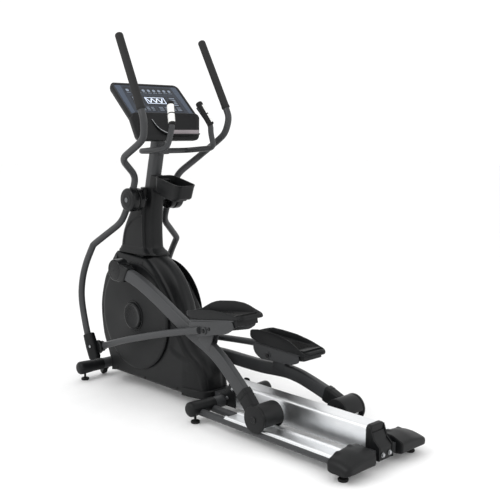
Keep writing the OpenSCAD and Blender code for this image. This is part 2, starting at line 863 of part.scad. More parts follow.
module swing_frame(side) {
    on_side(side) about(swing, swing_angle(side) - swing_mean) children();
}
function in_x(x, p) = [x, p[0], p[1]];
grip_low = [swing_x, -277, 457];
grip_high = [swing_x - 2, -102, 798];
module handle(side) {
    path = bend([grip_high, grip_low, [swing_x, -301, 404], [swing_x - 13, -284, 330],
        [swing_x - 20, -244, 298], [swing_x - 24, -85, 213], [cover_mid + 11, -40, 123],
        [cover_mid + 5, -12, 54], [cover_mid + 3, 0, 36]], 46);
    color(paint) swing_frame(side) tube(path, swing_r);
}
module hand_grip(side) {
    top = grip_high + 6 * unit(grip_high - grip_low);
    color(rubber) swing_frame(side) difference() {
        tube([grip_low, (grip_low + top) / 2, top], grip_r);
        tube([grip_low - unit(top - grip_low), (grip_low + grip_high) / 2, grip_high],
            swing_r);
    }
}
module swing_tube(side) {
    bulge_x = swing_x - 7;
    low = spline([[bulge_x, 148, -237], [bulge_x, 215, -339], [bulge_x, 256, -440],
        [bulge_x + 3, 260, -545], in_x(swing_x, knuckle_mean + [88, 96]),
        in_x(swing_x, knuckle_mean + [56, 24])], 4);
    path = concat(bend(concat([[cover_mid, 40, -34], [136, 88, -126]], [low[0], low[1]]), 40),
        [for (i = [2 : len(low) - 1]) low[i]]);
    color(paint) swing_frame(side) tube(path, swing_r);
}
module pivot_cover(side) {
    color(black) swing_frame(side) difference() {
        union() {
            rod_x(cover_r, cover_x[0] + 5, cover_x[1] - 6, [0, 0]);
            translate([cover_x[1] - 6, 0, 0]) rotate([0, 90, 0])
                cylinder(r1 = cover_r, r2 = cover_r - 8, h = 6);
            rod_x(cover_r - 6, cover_x[0], cover_x[0] + 5, [0, 0]);
        }
        rod_x(swing_axle_r + run_gap, 0, cover_x[1] - 4, [0, 0]);
        rod_x(swing_axle_r + 8, cover_x[1] - 4, cover_x[1] + 5, [0, 0]);
    }
}
module swing_boot(side) {
    top = knuckle_mean + [62, 58];
    foot = knuckle_mean + [4, -62];
    d = top - foot;
    color(black) swing_frame(side) {
        translate(in_x(swing_x, foot)) rotate([-atan2(d[0], d[1]), 0, 0])
            cylinder(r = boot_r, h = norm(d));
        rod_x(knuckle_pin_r, eye_x[0] - 6, swing_x, knuckle_mean);
    }
}

// ---- Main arms, rollers, pedal links and pedals ----

module arm_frame(side) {
    on_side(side) about(roller_at(side), arm_angle(side)) children();
}
// Centre line of the main arm above its chord, from the roller to the crank
arm_line = spline([
    [56, 9], [102, 26], [172, 45], [242, 62], [302, 74], [372, 80], [447, 76],
    [arm_len - 620, 66], [arm_len - 500, 62], [arm_len - 345, 60], [arm_len - 200, 50],
    [arm_len - 110, 34], [arm_len - 52, 14]
], 3);
arm_edge = [for (i = [0 : len(arm_line) - 1])
    let (t = tangent(arm_line, i)) [arm_line[i], [-t[1], t[0]]]];
module arm_outline(cut) {
    n = len(arm_edge) - 1;
    half = arm_depth / 2 - cut;
    slab_x(concat([for (i = [0 : n]) arm_edge[i][0] + half * arm_edge[i][1]],
        [for (i = [n : -1 : 0]) arm_edge[i][0] - half * arm_edge[i][1]]),
        arm_x - arm_w / 2 + cut, arm_x + arm_w / 2 - cut);
}
lug_r = 22;
module main_arm(side) {
    pivot = [pivot_along, pivot_rise];
    color(paint) arm_frame(side) difference() {
        union() {
            arm_outline(0);
            rod_x(lug_r, arm_x - arm_w / 2, arm_x + arm_w / 2, pivot);
            slab_x([pivot + [-lug_r, 0], pivot + [lug_r, 0], [pivot_along + 34, 72],
                [pivot_along - 34, 72]], arm_x - arm_w / 2, arm_x + arm_w / 2);
        }
        rod_x(pedal_pin_r + run_gap, 0, link_x, pivot);
        arm_outline(tube_wall);
    }
}
// Front cover, hollow round the crank pin
module arm_cover(side) {
    color(black) arm_frame(side) difference() {
        rod_x(56, cover_in_x, cover_out_x, [arm_len, 0]);
        rod_x(50, cover_in_x - 1, cover_out_x - 5, [arm_len, 0]);
    }
}
housing_r = 60;
housing_cut = 14;
module roller_housing(side) {
    sleeve = [[30, -34], [132, -8], [150, 70], [92, 62], [30, 46]];
    color(black) arm_frame(side) difference() {
        union() {
            rod_x(housing_r, wall_in_x, wall_out_x + wall_t, [0, 0]);
            slab_x(sleeve, arm_x - 27, arm_x + 27);
        }
        translate([wall_in_x + wall_t, 0, 0]) rotate([90, 0, 90])
            linear_extrude(wall_out_x - wall_in_x - wall_t) {
                circle(r = housing_r - 8);
                rotate(-housing_cut) translate([-90, -90]) square([180, 78]);
            }
        rod_x(roller_axle_r + run_gap, 0, 300, [0, 0]);
        arm_outline(0);
    }
}
module roller_axle(side) {
    color(steel) on_side(side) {
        rod_x(roller_axle_r, wall_in_x - 3, wall_out_x + wall_t + 3, roller_at(side));
    }
}
module roller(side) {
    color(white) on_side(side) difference() {
        union() {
            for (x = [ridge_in_x, ridge_out_x]) rod_x(roller_r, x - 12, x + 12, roller_at(side));
            rod_x(20, wall_in_x + wall_t + 1, wall_out_x - 1, roller_at(side));
        }
        rod_x(roller_axle_r + run_gap, 0, 300, roller_at(side));
    }
}

module link_frame(side) {
    on_side(side) about(pedal_at(side), link_angle(side)) children();
}
bracket_x = [100, 238];
bracket_plate_t = 6;
bracket_top = 44;
bracket_back = 205;
bracket_outline = [[94, bracket_top + 10], [100, 30], [88, 4], [56, -20], [-150, -27],
    [-bracket_back + 6, -14], [-bracket_back + 6, bracket_top - 24]];
module pedal_link(side) {
    path = spline([[link_x, -20, 4], [link_x, 120, 10], [link_x, 300, 15],
        [link_x, link_len - 300, 14], [link_x, link_len - 140, 8],
        [link_x, link_len - eye_r + 4, 0]], 4);
    color(paint) link_frame(side) {
        difference() {
            union() {
                tube(path, link_r);
                rod_x(eye_r, eye_x[0], eye_x[1], [link_len, 0]);
            }
            rod_x(knuckle_pin_r + knuckle_gap, 0, 300, [link_len, 0]);
            box([0, -60, -60], [bracket_x[1] - bracket_plate_t, 60, 60]);
        }
        for (x = [bracket_x[0], bracket_x[1] - bracket_plate_t])
            slab_x(bracket_outline, x, x + bracket_plate_t);
        rotate([pedal_tilt, 0, 0]) box([bracket_x[0], -bracket_back, bracket_top],
            [bracket_x[1], 92, bracket_top + bracket_plate_t]);
        rod_x(pedal_pin_r, bracket_x[0] - 4, bracket_x[1] + 22, [0, 0]);
    }
}

// Moulded pedal with raised side walls and toe, seen from above as a rounded rectangle
pedal_front = 136;
pedal_base = bracket_top + bracket_plate_t;
pedal_wall = 48;
pedal_floor = 16;
pedal_back = pedal_front - pedal_len;
// Side view of the pedal, low at the toe and rounded at the heel
pedal_profile = [
    [pedal_back - 1, -1], [pedal_back - 1, 16], [pedal_back + 8, 25], [pedal_back + 60, 38],
    [pedal_back + 150, pedal_wall - 2], [pedal_front - 100, pedal_wall],
    [pedal_front - 50, pedal_wall - 2], [pedal_front - 16, pedal_wall - 9],
    [pedal_front + 1, pedal_wall - 18], [pedal_front + 1, 22], [pedal_front - 70, -1]
];
// Side view of the taller inner wall, which keeps the foot off the drive cover
pedal_crest = 28;
crest_profile = [
    [pedal_back + 14, 10], [pedal_back + 40, 38], [pedal_back + 90, pedal_wall + 12],
    [pedal_back + 150, pedal_wall + pedal_crest - 2], [pedal_back + 200, pedal_wall + pedal_crest],
    [pedal_front - 120, pedal_wall + pedal_crest - 10], [pedal_front - 60, pedal_wall + 2],
    [pedal_front - 40, 10]
];
module foot_pedal(side) {
    mid = (pedal_front + pedal_back) / 2;
    color(black) link_frame(side) rotate([pedal_tilt, 0, 0])
        translate([0, 0, pedal_base]) difference() {
            intersection() {
                translate([pedal_x, mid, 0]) linear_extrude(pedal_wall + pedal_crest)
                    round_rect(pedal_w, pedal_len, 34);
                union() {
                    slab_x(pedal_profile, 0, link_x + pedal_w);
                    slab_x(crest_profile, 0, pedal_x - pedal_w / 2 + 20);
                }
            }
            translate([pedal_x, mid, pedal_floor]) linear_extrude(pedal_wall + pedal_crest)
                round_rect(pedal_w - 16, pedal_len - 16, 28);
        }
}

main_frame();
front_stabilizer();
rear_stabilizer();
end_caps();
rear_end_caps();
levelling_feet();
base_rails();
tracks();
centre_beam();
beam_bracket();
frame_bolts();
shroud_left();
shroud_right();
neck_cover();
mast();
swing_axle();
console_back();
console_front();
display_panel();
fixed_handlebar();
fixed_grips();
pulse_plates();
bottle_holder();
drive_belt();
crank_bearings();
power_inlet();
transport_wheel(-1);  // transport_wheel_left
transport_wheel(1);  // transport_wheel_right
crank_disc(-1);  // crank_disc_left
crank_disc(1);  // crank_disc_right
hub_caps();
crank_axle();
crank_arms();
drive_pulley();
flywheel();
brake_bracket();
handle(-1);  // handle_left
handle(1);  // handle_right
hand_grip(-1);  // hand_grip_left
hand_grip(1);  // hand_grip_right
swing_tube(-1);  // swing_tube_left
swing_tube(1);  // swing_tube_right
pivot_cover(-1);  // pivot_cover_left
pivot_cover(1);  // pivot_cover_right
swing_boot(-1);  // swing_boot_left
swing_boot(1);  // swing_boot_right
main_arm(-1);  // main_arm_left
main_arm(1);  // main_arm_right
arm_cover(-1);  // arm_cover_left
arm_cover(1);  // arm_cover_right
roller_housing(-1);  // roller_housing_left
roller_housing(1);  // roller_housing_right
roller_axle(-1);  // roller_axle_left
roller_axle(1);  // roller_axle_right
roller(-1);  // roller_left
roller(1);  // roller_right
pedal_link(-1);  // pedal_link_left
pedal_link(1);  // pedal_link_right
foot_pedal(-1);  // foot_pedal_left
foot_pedal(1);  // foot_pedal_right
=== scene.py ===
"""Looks of an elliptical trainer: moulded covers, tubes, pedals, console and studio.

Lengths are in metres unless a name ends in _mm. A piece with a side is drawn on the user's
right, where X is positive, and mirrored to the left.
"""

import json
import math

import bmesh
import bpy
import numpy as np
from mathutils import Matrix, Vector


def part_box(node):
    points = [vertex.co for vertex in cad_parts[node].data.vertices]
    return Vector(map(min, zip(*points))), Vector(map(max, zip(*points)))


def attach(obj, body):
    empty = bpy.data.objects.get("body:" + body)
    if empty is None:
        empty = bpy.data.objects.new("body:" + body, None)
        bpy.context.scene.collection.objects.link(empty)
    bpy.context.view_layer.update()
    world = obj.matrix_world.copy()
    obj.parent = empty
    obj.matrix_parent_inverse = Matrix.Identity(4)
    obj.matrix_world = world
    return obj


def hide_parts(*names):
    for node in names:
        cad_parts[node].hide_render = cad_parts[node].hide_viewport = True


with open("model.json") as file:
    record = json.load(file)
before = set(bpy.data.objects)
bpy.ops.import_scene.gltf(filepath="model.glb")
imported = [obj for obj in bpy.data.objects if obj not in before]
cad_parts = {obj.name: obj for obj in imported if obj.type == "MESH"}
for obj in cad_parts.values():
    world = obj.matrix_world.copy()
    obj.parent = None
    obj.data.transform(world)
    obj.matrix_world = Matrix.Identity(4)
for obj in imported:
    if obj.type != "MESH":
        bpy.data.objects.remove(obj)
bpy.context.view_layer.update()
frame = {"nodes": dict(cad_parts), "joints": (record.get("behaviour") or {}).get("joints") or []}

MM = 0.001
SIDES = {"left": -1, "right": 1}
PLACES = {j["name"]: Vector(j["pos_m"]) for j in frame["joints"] if "pos_m" in j}
HUB = PLACES["crank_turn"].yz
SWING = PLACES["swing_left"].yz

# ---- Geometry helpers ----


def mm(*values):
    """A point given in millimetres, in metres."""
    return Vector(values) * MM


def ramp(value, start, end):
    """Smooth rise from 0 at start to 1 at end."""
    t = min(max((value - start) / (end - start), 0.0), 1.0)
    return t * t * (3 - 2 * t)


def unit(v):
    """A vector of length one in the same direction."""
    return v / np.linalg.norm(v)


def spline(points, steps):
    """A smooth curve through points, with the same number of steps between neighbours."""
    p = np.array(points, float)
    p = np.vstack([p[0], p, p[-1]])
    found = []
    for i in range(1, len(p) - 2):
        a, b, c, d = p[i - 1 : i + 3]
        for k in range(steps):
            t = k / steps
            found.append(
                0.5
                * (
                    2 * b
                    + (c - a) * t
                    + (2 * a - 5 * b + 4 * c - d) * t**2
                    + (3 * b - a - 3 * c + d) * t**3
                )
            )
    return np.array(found + [p[-2]])


def bend(points, reach, steps=8):
    """A polyline with each corner rounded over a distance reach on both sides."""
    p = [np.array(q, float) for q in points]
    found = [p[0]]
    for before, corner, after in zip(p, p[1:], p[2:]):
        back, on = before - corner, after - corner
        start = corner + unit(back) * min(reach, np.linalg.norm(back) / 2.1)
        end = corner + unit(on) * min(reach, np.linalg.norm(on) / 2.1)
        for t in np.linspace(0, 1, steps + 1):
            found.append((1 - t) ** 2 * start + 2 * t * (1 - t) * corner + t**2 * end)
    return np.array(found + [p[-1]])


def rounded_rect(width, height, radius, steps=7):
    """Corner points of a rectangle with round corners, counter-clockwise about the origin."""
    found = []
    for sx, sy, first in ((1, 1, 0), (-1, 1, 90), (-1, -1, 180), (1, -1, 270)):
        for angle in np.radians(np.linspace(first, first + 90, steps)):
            found.append(
                (
                    sx * (width / 2 - radius) + radius * math.cos(angle),
                    sy * (height / 2 - radius) + radius * math.sin(angle),
                )
            )
    return np.array(found)


def inset(outline, depth):
    """A closed outline moved inwards by depth, one number or one for each point.

    The outline runs counter-clockwise.
    """
    p = np.array(outline, float)
    along = np.roll(p, -1, 0) - np.roll(p, 1, 0)
    along /= np.linalg.norm(along, axis=1)[:, None]
    return p + np.reshape(depth, (-1, 1)) * np.stack([-along[:, 1], along[:, 0]], 1)


def loft(rings, ends=(True, True)):
    """Skin over rings of points, each ring closed; ends says which end rings are filled."""
    count = len(rings[0])
    verts = [tuple(p) for ring in rings for p in ring]
    faces = []
    for i in range(len(rings) - 1):
        for k in range(count):
            j = (k + 1) % count
            a, b = i * count, (i + 1) * count
            faces.append((a + k, a + j, b + j, b + k))
    if ends[0]:
        faces.append(tuple(range(count))[::-1])
    if ends[1]:
        faces.append(tuple(range(len(verts) - count, len(verts))))
    return verts, faces


def joined(*meshes):
    """Several meshes as one list of points and faces."""
    verts, faces = [], []
    for v, f in meshes:
        faces += [tuple(i + len(verts) for i in face) for face in f]
        verts += [tuple(p) for p in v]
    return verts, faces


def sweep(path, section, ends=(True, True)):
    """A section, given at each path point or once for all, carried along a path."""
    p = np.array(path, float)
    tangents = np.gradient(p, axis=0)
    tangents /= np.linalg.norm(tangents, axis=1)[:, None]
    u = np.cross(tangents[0], (0.31, 0.17, 0.93))
    if np.linalg.norm(u) < 0.2:
        u = np.cross(tangents[0], (1, 0, 0))
    rings = []
    for i, (point, t) in enumerate(zip(p, tangents)):
        u = unit(u - t * np.dot(u, t))
        v = np.cross(t, u)
        shape = section[i] if isinstance(section, list) else section
        rings.append([point + a * u + b * v for a, b in shape])
    return loft(rings, ends)


def circle(radius, sides=32):
    """Points round a circle about the origin."""
    angles = np.linspace(0, 2 * math.pi, sides, endpoint=False)
    return np.stack([np.cos(angles), np.sin(angles)], 1) * radius


def tube(path, radius, sides=32, dome=0.0):
    """Round tube along a path; dome rounds both ends over that length."""
    p = np.array(path, float)
    radii = [radius] * len(p)
    if dome:
        first, last = unit(p[1] - p[0]), unit(p[-1] - p[-2])
        steps = np.radians((0, 30, 55, 75, 88))
        tips = [(radius * math.cos(a), dome * math.sin(a)) for a in steps[1:]]
        head = [p[-1] + last * rise for _, rise in tips]
        tail = [p[0] - first * rise for _, rise in tips[::-1]]
        p = np.vstack([tail, p, head])
        radii = [r for r, _ in tips[::-1]] + radii + [r for r, _ in tips]
    return sweep(p, [circle(r, sides) for r in radii])


def turned(profile, centre=(0, 0), sides=96):
    """A profile of (x, radius) pairs turned round the X axis through centre in Y and Z."""
    angles = np.linspace(0, 2 * math.pi, sides, endpoint=False)
    rings = [
        [(x, centre[0] + r * math.cos(a), centre[1] + r * math.sin(a)) for a in angles]
        for x, r in profile
    ]
    return loft(rings)


def turned_mm(profile, centre=(0, 0), sides=96):
    """The same, for a profile in millimetres."""
    return turned([(x * MM, r * MM) for x, r in profile], centre, sides)


def round_edge(x, radius, depth, steps=4, leaving=True):
    """Profile points that round the rim of a turned piece of that radius at the plane x."""
    found = []
    for a in np.radians(np.linspace(0, 90, steps + 1)):
        drop = depth * (1 - math.cos(a))
        back = depth * (1 - math.sin(a))
        found.append((x - math.copysign(back, 1 if leaving else -1), radius - drop))
    return found if leaving else found[::-1]


def drum(x0, x1, radius, edge, centre=(0, 0), sides=96):
    """Solid drum along X with both rims rounded."""
    profile = round_edge(x0, radius, edge, leaving=False) + round_edge(x1, radius, edge)
    return turned(profile, centre, sides)


def slab(outline, x0, x1, edge=0.0, steps=4):
    """An outline in Y and Z drawn out along X from x0 to x1, with rounded rims."""
    if not edge:
        return loft([[(x, y, z) for y, z in outline] for x in (x0, x1)])
    rings = []
    turns = np.radians(np.linspace(0, 90, steps + 1))
    for a in turns:
        shape = inset(outline, edge * (1 - math.sin(a)))
        rings.append([(x0 + edge * (1 - math.cos(a)), y, z) for y, z in shape])
    for a in turns[::-1]:
        shape = inset(outline, edge * (1 - math.sin(a)))
        rings.append([(x1 - edge * (1 - math.cos(a)), y, z) for y, z in shape])
    return loft(rings)


def stood(mesh):
    """A mesh built along X, turned so that it is built along Z instead."""
    verts, faces = mesh
    return [(y, z, x) for x, y, z in verts], faces


def moved(mesh, *offset):
    """A mesh shifted by an offset."""
    verts, faces = mesh
    return [tuple(np.add(v, offset)) for v in verts], faces


def turn_about_x(at, angle):
    """Matrix that places a drawing about the X axis at a point in Y and Z, turned by angle."""
    return Matrix.Translation((0, at[0], at[1])) @ Matrix.Rotation(angle, 4, "X")


# ---- Materials ----


def colour(hex_code, alpha=1.0):
    """An sRGB hex colour as linear numbers."""
    parts = [int(hex_code[i : i + 2], 16) / 255 for i in (0, 2, 4)]
    linear = [c / 12.92 if c <= 0.04045 else ((c + 0.055) / 1.055) ** 2.4 for c in parts]
    return (*linear, alpha)


def add(tree, kind, inputs=None, **settings):
    """A shader node with its settings; an input that is a socket is linked, else it is set."""
    made = tree.nodes.new("ShaderNode" + kind)
    for key, value in settings.items():
        setattr(made, key, value)
    for key, value in (inputs or {}).items():
        if isinstance(value, bpy.types.NodeSocket):
            tree.links.new(value, made.inputs[key])
        else:
            made.inputs[key].default_value = value
    return made


def finish_of(name, **shader):
    """An empty node material with its shader's plain values set; returns it, tree and shader."""
    made = bpy.data.materials.new(name)
    made.use_nodes = True
    tree = made.node_tree
    tree.nodes.clear()
    surface = add(tree, "BsdfPrincipled", shader)
    output = add(tree, "OutputMaterial")
    tree.links.new(surface.outputs[0], output.inputs[0])
    return made, tree, surface


def grained(name, dark, light, grain_mm, rough, bump_mm, stretch=(1, 1, 1), **shader):
    """A finish whose colour, gloss and height vary in grains of a real size.

    rough is the lowest and highest roughness, and bump_mm the height of the grain.
    """
    made, tree, surface = finish_of(name, **shader)
    place = add(tree, "TexCoord").outputs["Object"]
    scaled = add(tree, "Mapping", {"Vector": place, "Scale": stretch}).outputs[0]
    fine = add(tree, "TexNoise", {"Vector": scaled, "Scale": 1 / (grain_mm * MM), "Detail": 3.0})
    broad = add(tree, "TexNoise", {"Vector": place, "Scale": 9.0, "Detail": 2.0})
    both_grains = {0: fine.outputs["Fac"], 1: broad.outputs["Fac"]}
    blend = add(tree, "Math", both_grains, operation="MULTIPLY")
    spread = add(tree, "MapRange", {"Value": blend.outputs[0], "From Min": 0.1, "From Max": 0.45})
    tones = {0: spread.outputs[0], 6: colour(dark), 7: colour(light)}
    tone = add(tree, "Mix", tones, data_type="RGBA")
    patches = {"Value": broad.outputs["Fac"], "From Min": 0.3, "From Max": 0.7}
    gloss = add(tree, "MapRange", {**patches, "To Min": rough[0], "To Max": rough[1]})
    relief = {"Height": fine.outputs["Fac"], "Distance": bump_mm * MM, "Strength": 1.0}
    height = add(tree, "Bump", relief)
    tree.links.new(tone.outputs[2], surface.inputs["Base Color"])
    tree.links.new(gloss.outputs[0], surface.inputs["Roughness"])
    tree.links.new(height.outputs[0], surface.inputs["Normal"])
    return made


LEVEL = "Specular IOR Level"

# Powder-coated steel tube: charcoal grey, satin, with a slight orange peel
PAINT = grained("powder_coated_steel", "343536", "3c3d3f", 2.5, (0.36, 0.46), 0.05, **{LEVEL: 0.28})

# Injection-moulded ABS: near-black, satin, with a fine spark-eroded grain
ABS = grained("moulded_abs", "101112", "161718", 1.4, (0.38, 0.48), 0.03, **{LEVEL: 0.2})

# ABS from a smoother tool: the same black with soft, longer highlights
GLOSS_ABS = grained("polished_abs", "101112", "151617", 3.0, (0.24, 0.32), 0.01, **{LEVEL: 0.22})

# Moulded rubber tread: matt black, with a coarse grain that scatters light
RUBBER = grained("tread_rubber", "121212", "1a1a1a", 1.8, (0.6, 0.75), 0.12, **{LEVEL: 0.24})

# Closed-cell foam sleeve: black, dull, with an open pebbled skin
FOAM = grained("grip_foam", "1c1c1c", "272727", 1.6, (0.7, 0.85), 0.25, **{LEVEL: 0.3})

# Anodised aluminium extrusion: bright, with fine draw lines along its length
ALUMINIUM = grained(
    "anodised_aluminium", "e2e4e6", "f0f1f2", 1.2, (0.3, 0.34), 0.01, (1, 0.02, 1), Metallic=1.0
)

# Zinc-plated steel fasteners and shafts: pale grey metal with a soft gloss
ZINC = grained("zinc_plated_steel", "a4a6a8", "bcbec0", 2.0, (0.26, 0.36), 0.01, Metallic=1.0)

# Turned cast steel of the flywheel, brake and cranks: dull mid-grey metal
STEEL = grained("turned_steel", "6a6c6e", "7c7e80", 2.0, (0.38, 0.5), 0.05, Metallic=1.0)

# Moulded nylon rollers and pulse plates: off-white with a soft sheen
NYLON = grained("moulded_nylon", "dededc", "efefed", 4.0, (0.3, 0.38), 0.01, IOR=1.53)

# Screen-printed polyester overlay: slate blue, nearly flat, with a velvet gloss
FILM = grained("printed_overlay", "232a35", "2b323e", 1.0, (0.4, 0.5), 0.01, **{LEVEL: 0.3})

# Darker ink areas of the overlay, behind groups of keys
DARK_INK = grained("overlay_dark_ink", "151920", "1a1f27", 1.0, (0.4, 0.5), 0.01, **{LEVEL: 0.3})

# Pale grey ink of the overlay's marks and key outlines
PALE_INK = grained("overlay_pale_ink", "7d8796", "8a94a3", 1.0, (0.4, 0.5), 0.01, **{LEVEL: 0.3})

# Paler slate bands printed down the sides of the overlay
PALE_BAND = grained("overlay_pale_band", "3a4452", "465060", 1.0, (0.4, 0.5), 0.01, **{LEVEL: 0.3})

# Liquid-crystal window: near-black blue under a glossy film
LCD = grained("lcd_window", "10151d", "161d27", 2.0, (0.08, 0.14), 0.005, IOR=1.5)

# Lit display segments: pale blue-white, glowing faintly
LIT = grained("lit_segment", "cfdcf0", "dfe8f5", 1.0, (0.3, 0.4), 0.005)
LIT_SURFACE = LIT.node_tree.nodes["Principled BSDF"]
LIT_SURFACE.inputs["Emission Color"].default_value = colour("cfdcf5")
LIT_SURFACE.inputs["Emission Strength"].default_value = 0.6

# Printed vinyl strip under the display: pale grey with a warm tint
VINYL = grained("printed_vinyl", "8a8286", "a39a9e", 3.0, (0.35, 0.45), 0.005)

SLOTS = {
    PAINT: "charcoal_paint",
    ABS: "black_plastic",
    GLOSS_ABS: "black_plastic",
    RUBBER: "black_rubber",
    FOAM: "black_foam",
    ALUMINIUM: "bright_aluminium",
    ZINC: "bare_steel",
    STEEL: "bare_steel",
    NYLON: "white_plastic",
    **dict.fromkeys((FILM, DARK_INK, PALE_INK, PALE_BAND, LCD, LIT, VINYL), "slate_panel"),
}


def piece(name, mesh, material, body, stands_for=(), place=None, side=1, sharp=32):
    """One visible piece on a CAD body; side -1 mirrors the drawing to the user's left."""
    data = bpy.data.meshes.new(name)
    data.from_pydata([tuple(v) for v in mesh[0]], [], mesh[1])
    if place is not None:
        data.transform(place)
    if side < 0:
        data.transform(Matrix.Diagonal((-1, 1, 1, 1)))
    bm = bmesh.new()
    bm.from_mesh(data)
    bmesh.ops.recalc_face_normals(bm, faces=bm.faces)
    bm.to_mesh(data)
    bm.free()
    data.shade_smooth()
    data.set_sharp_from_angle(angle=math.radians(sharp))
    data.materials.append(material)
    made = bpy.data.objects.new(name, data)
    bpy.context.scene.collection.objects.link(made)
    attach(made, body)
    if stands_for:
        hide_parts(*stands_for)
    return made


def both(stem, mesh, material, body, stands_for=(), place=None, sharp=32):
    """The same piece on both sides. A name in body or stands_for may end in an underscore,
    which takes the side's name."""
    for name, side in SIDES.items():
        on = body + name if body.endswith("_") else body
        nodes = [n + name if n.endswith("_") else n for n in stands_for]
        put = place[name] if isinstance(place, dict) else place
        piece(f"{stem}_{name}", mesh, material, on, nodes, put, side, sharp)


def repaint(material, *nodes):
    """A CAD node that keeps its shape gets a finished material."""
    for name in nodes:
        data = frame["nodes"][name].data
        data.materials.clear()
        data.materials.append(material)


# ---- Frames of the moving pieces, from the joints and covers of the CAD model ----

LINK_LEN = 865 * MM
SWING_LEN = 789 * MM
SWING_MEAN = math.radians(9.4)
TUBE_R = 17 * MM
RIDGES = (125, 202)


def knuckle_of(side_name):
    """Where the swing arm meets the pedal link, from their two pivots and lengths."""
    foot = PLACES["pedal_pivot_" + side_name].yz
    gap = SWING - foot
    along = (LINK_LEN**2 - SWING_LEN**2 + gap.length_squared) / (2 * gap.length)
    off = math.sqrt(LINK_LEN**2 - along**2)
    e = gap.normalized()
    return foot + along * e + off * Vector((e.y, -e.x))


def middle(node):
    """Middle of a CAD node's box."""
    low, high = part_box(node)
    return (low + high) / 2


def angle_of(v):
    """Angle of a direction in the Y and Z plane."""
    return math.atan2(v.y, v.x)


ARM, LINK, SWUNG, ROLLER = {}, {}, {}, {}
for side_name in SIDES:
    roller_at = PLACES["arm_tilt_" + side_name].yz
    pin_at = middle("arm_cover_" + side_name).yz
    pedal_at = PLACES["pedal_pivot_" + side_name].yz
    knuckle = knuckle_of(side_name)
    drop = knuckle - SWING
    ROLLER[side_name] = turn_about_x(roller_at, 0)
    ARM[side_name] = turn_about_x(roller_at, angle_of(pin_at - roller_at))
    LINK[side_name] = turn_about_x(pedal_at, angle_of(knuckle - pedal_at))
    SWUNG[side_name] = turn_about_x(SWING, math.atan2(drop.x, -drop.y) - SWING_MEAN)
ARM_LEN = (middle("arm_cover_left").yz - PLACES["arm_tilt_left"].yz).length
KNUCKLE_MEAN = SWING_LEN * Vector((math.sin(SWING_MEAN), -math.cos(SWING_MEAN)))

# ---- Swing arms ----

SWING_X = 276
COVER_X = (88, 165)
GRIP_LOW = np.array((SWING_X, -277, 457))
GRIP_HIGH = np.array((SWING_X - 2, -102, 798))


def upper_tube():
    """Cranked handle tube, from the hand grip in to the pivot housing."""
    corners = [
        GRIP_HIGH,
        GRIP_LOW,
        (SWING_X, -301, 404),
        (SWING_X - 13, -284, 330),
        (SWING_X - 20, -244, 298),
        (SWING_X - 24, -85, 213),
        (137, -40, 123),
        (131, -12, 54),
        (129, 0, 36),
    ]
    return tube(bend(corners, 46) * MM, TUBE_R)


def lower_tube():
    """Lower swing tube: out of the housing, bowed forward and down into its boot."""
    bulge = SWING_X - 7
    knee = KNUCKLE_MEAN / MM
    low = spline(
        [
            (bulge, 148, -237),
            (bulge, 215, -339),
            (bulge, 256, -440),
            (bulge + 3, 260, -545),
            (SWING_X, knee.x + 88, knee.y + 96),
            (SWING_X, knee.x + 56, knee.y + 24),
        ],
        6,
    )
    top = bend([(127, 40, -34), (136, 88, -126), low[0], low[1]], 40)
    return tube(np.vstack([top, low[2:]]) * MM, TUBE_R)


def hand_grip():
    """Foam sleeve with a domed top and a thin collar where it meets the tube."""
    line = np.linspace(GRIP_LOW, GRIP_HIGH, 30) * MM
    sleeve = tube(line, 20 * MM, dome=13 * MM)
    start = GRIP_LOW * MM
    collar = tube([start, start + unit(GRIP_HIGH - GRIP_LOW) * 9 * MM], 21.4 * MM, dome=2 * MM)
    return joined(sleeve, collar)


def pivot_housing():
    """Two-part round housing of the swing pivot, with a neck for the handle tube."""
    x0, x1 = (x * MM for x in COVER_X)
    seam = x0 + 30 * MM
    inner = drum(x0, seam - 0.8 * MM, 58 * MM, 4 * MM)
    outer = drum(seam + 0.8 * MM, x1, 60 * MM, 10 * MM)
    core = drum(x0 + 2 * MM, x1 - 9 * MM, 51 * MM, 1 * MM)
    handle_neck = tube(np.array([(129, -2, 20), (131, -12, 54), (131, -14, 62)]) * MM, 20 * MM)
    return joined(inner, outer, core, handle_neck)


def housing_cap():
    """Snap-in cap over the pivot nut, with a shallow dish."""
    x = COVER_X[1] * MM
    rim = [(x - 3 * MM, 40 * MM), (x + 0.2 * MM, 40 * MM), (x + 1 * MM, 38.5 * MM)]
    dish = [(x + 1.2 * MM, 26 * MM), (x + 1 * MM, 24 * MM), (x + 1 * MM, 0.2 * MM)]
    return turned(rim + dish, sides=64)


def boot_section(width_mm, depth_mm):
    """Cross section of the swing boot."""
    return rounded_rect(width_mm * MM, depth_mm * MM, min(width_mm, depth_mm) * 0.38 * MM)


def swing_boot():
    """Tapered boot over the tube's foot, with a rolled top edge."""
    knee = KNUCKLE_MEAN / MM
    top = np.array((SWING_X, knee.x + 64, knee.y + 62)) * MM
    foot = np.array((SWING_X, knee.x + 2, knee.y - 66)) * MM
    stations = ((0, 42, 44), (0.02, 52, 58), (0.08, 54, 60), (0.5, 57, 66), (0.9, 54, 64), (1, 44, 52))
    path = [top + (foot - top) * t for t, _, _ in stations]
    return sweep(path, [boot_section(w, d) for _, w, d in stations])


def knuckle_cap():
    """Round cover on the boot's inner face, over the knuckle's pin."""
    knee = KNUCKLE_MEAN
    return joined(
        drum(249 * MM, 268 * MM, 36 * MM, 5 * MM, knee, 56),
        drum(212 * MM, 226 * MM, 20 * MM, 4 * MM, knee, 40),
    )


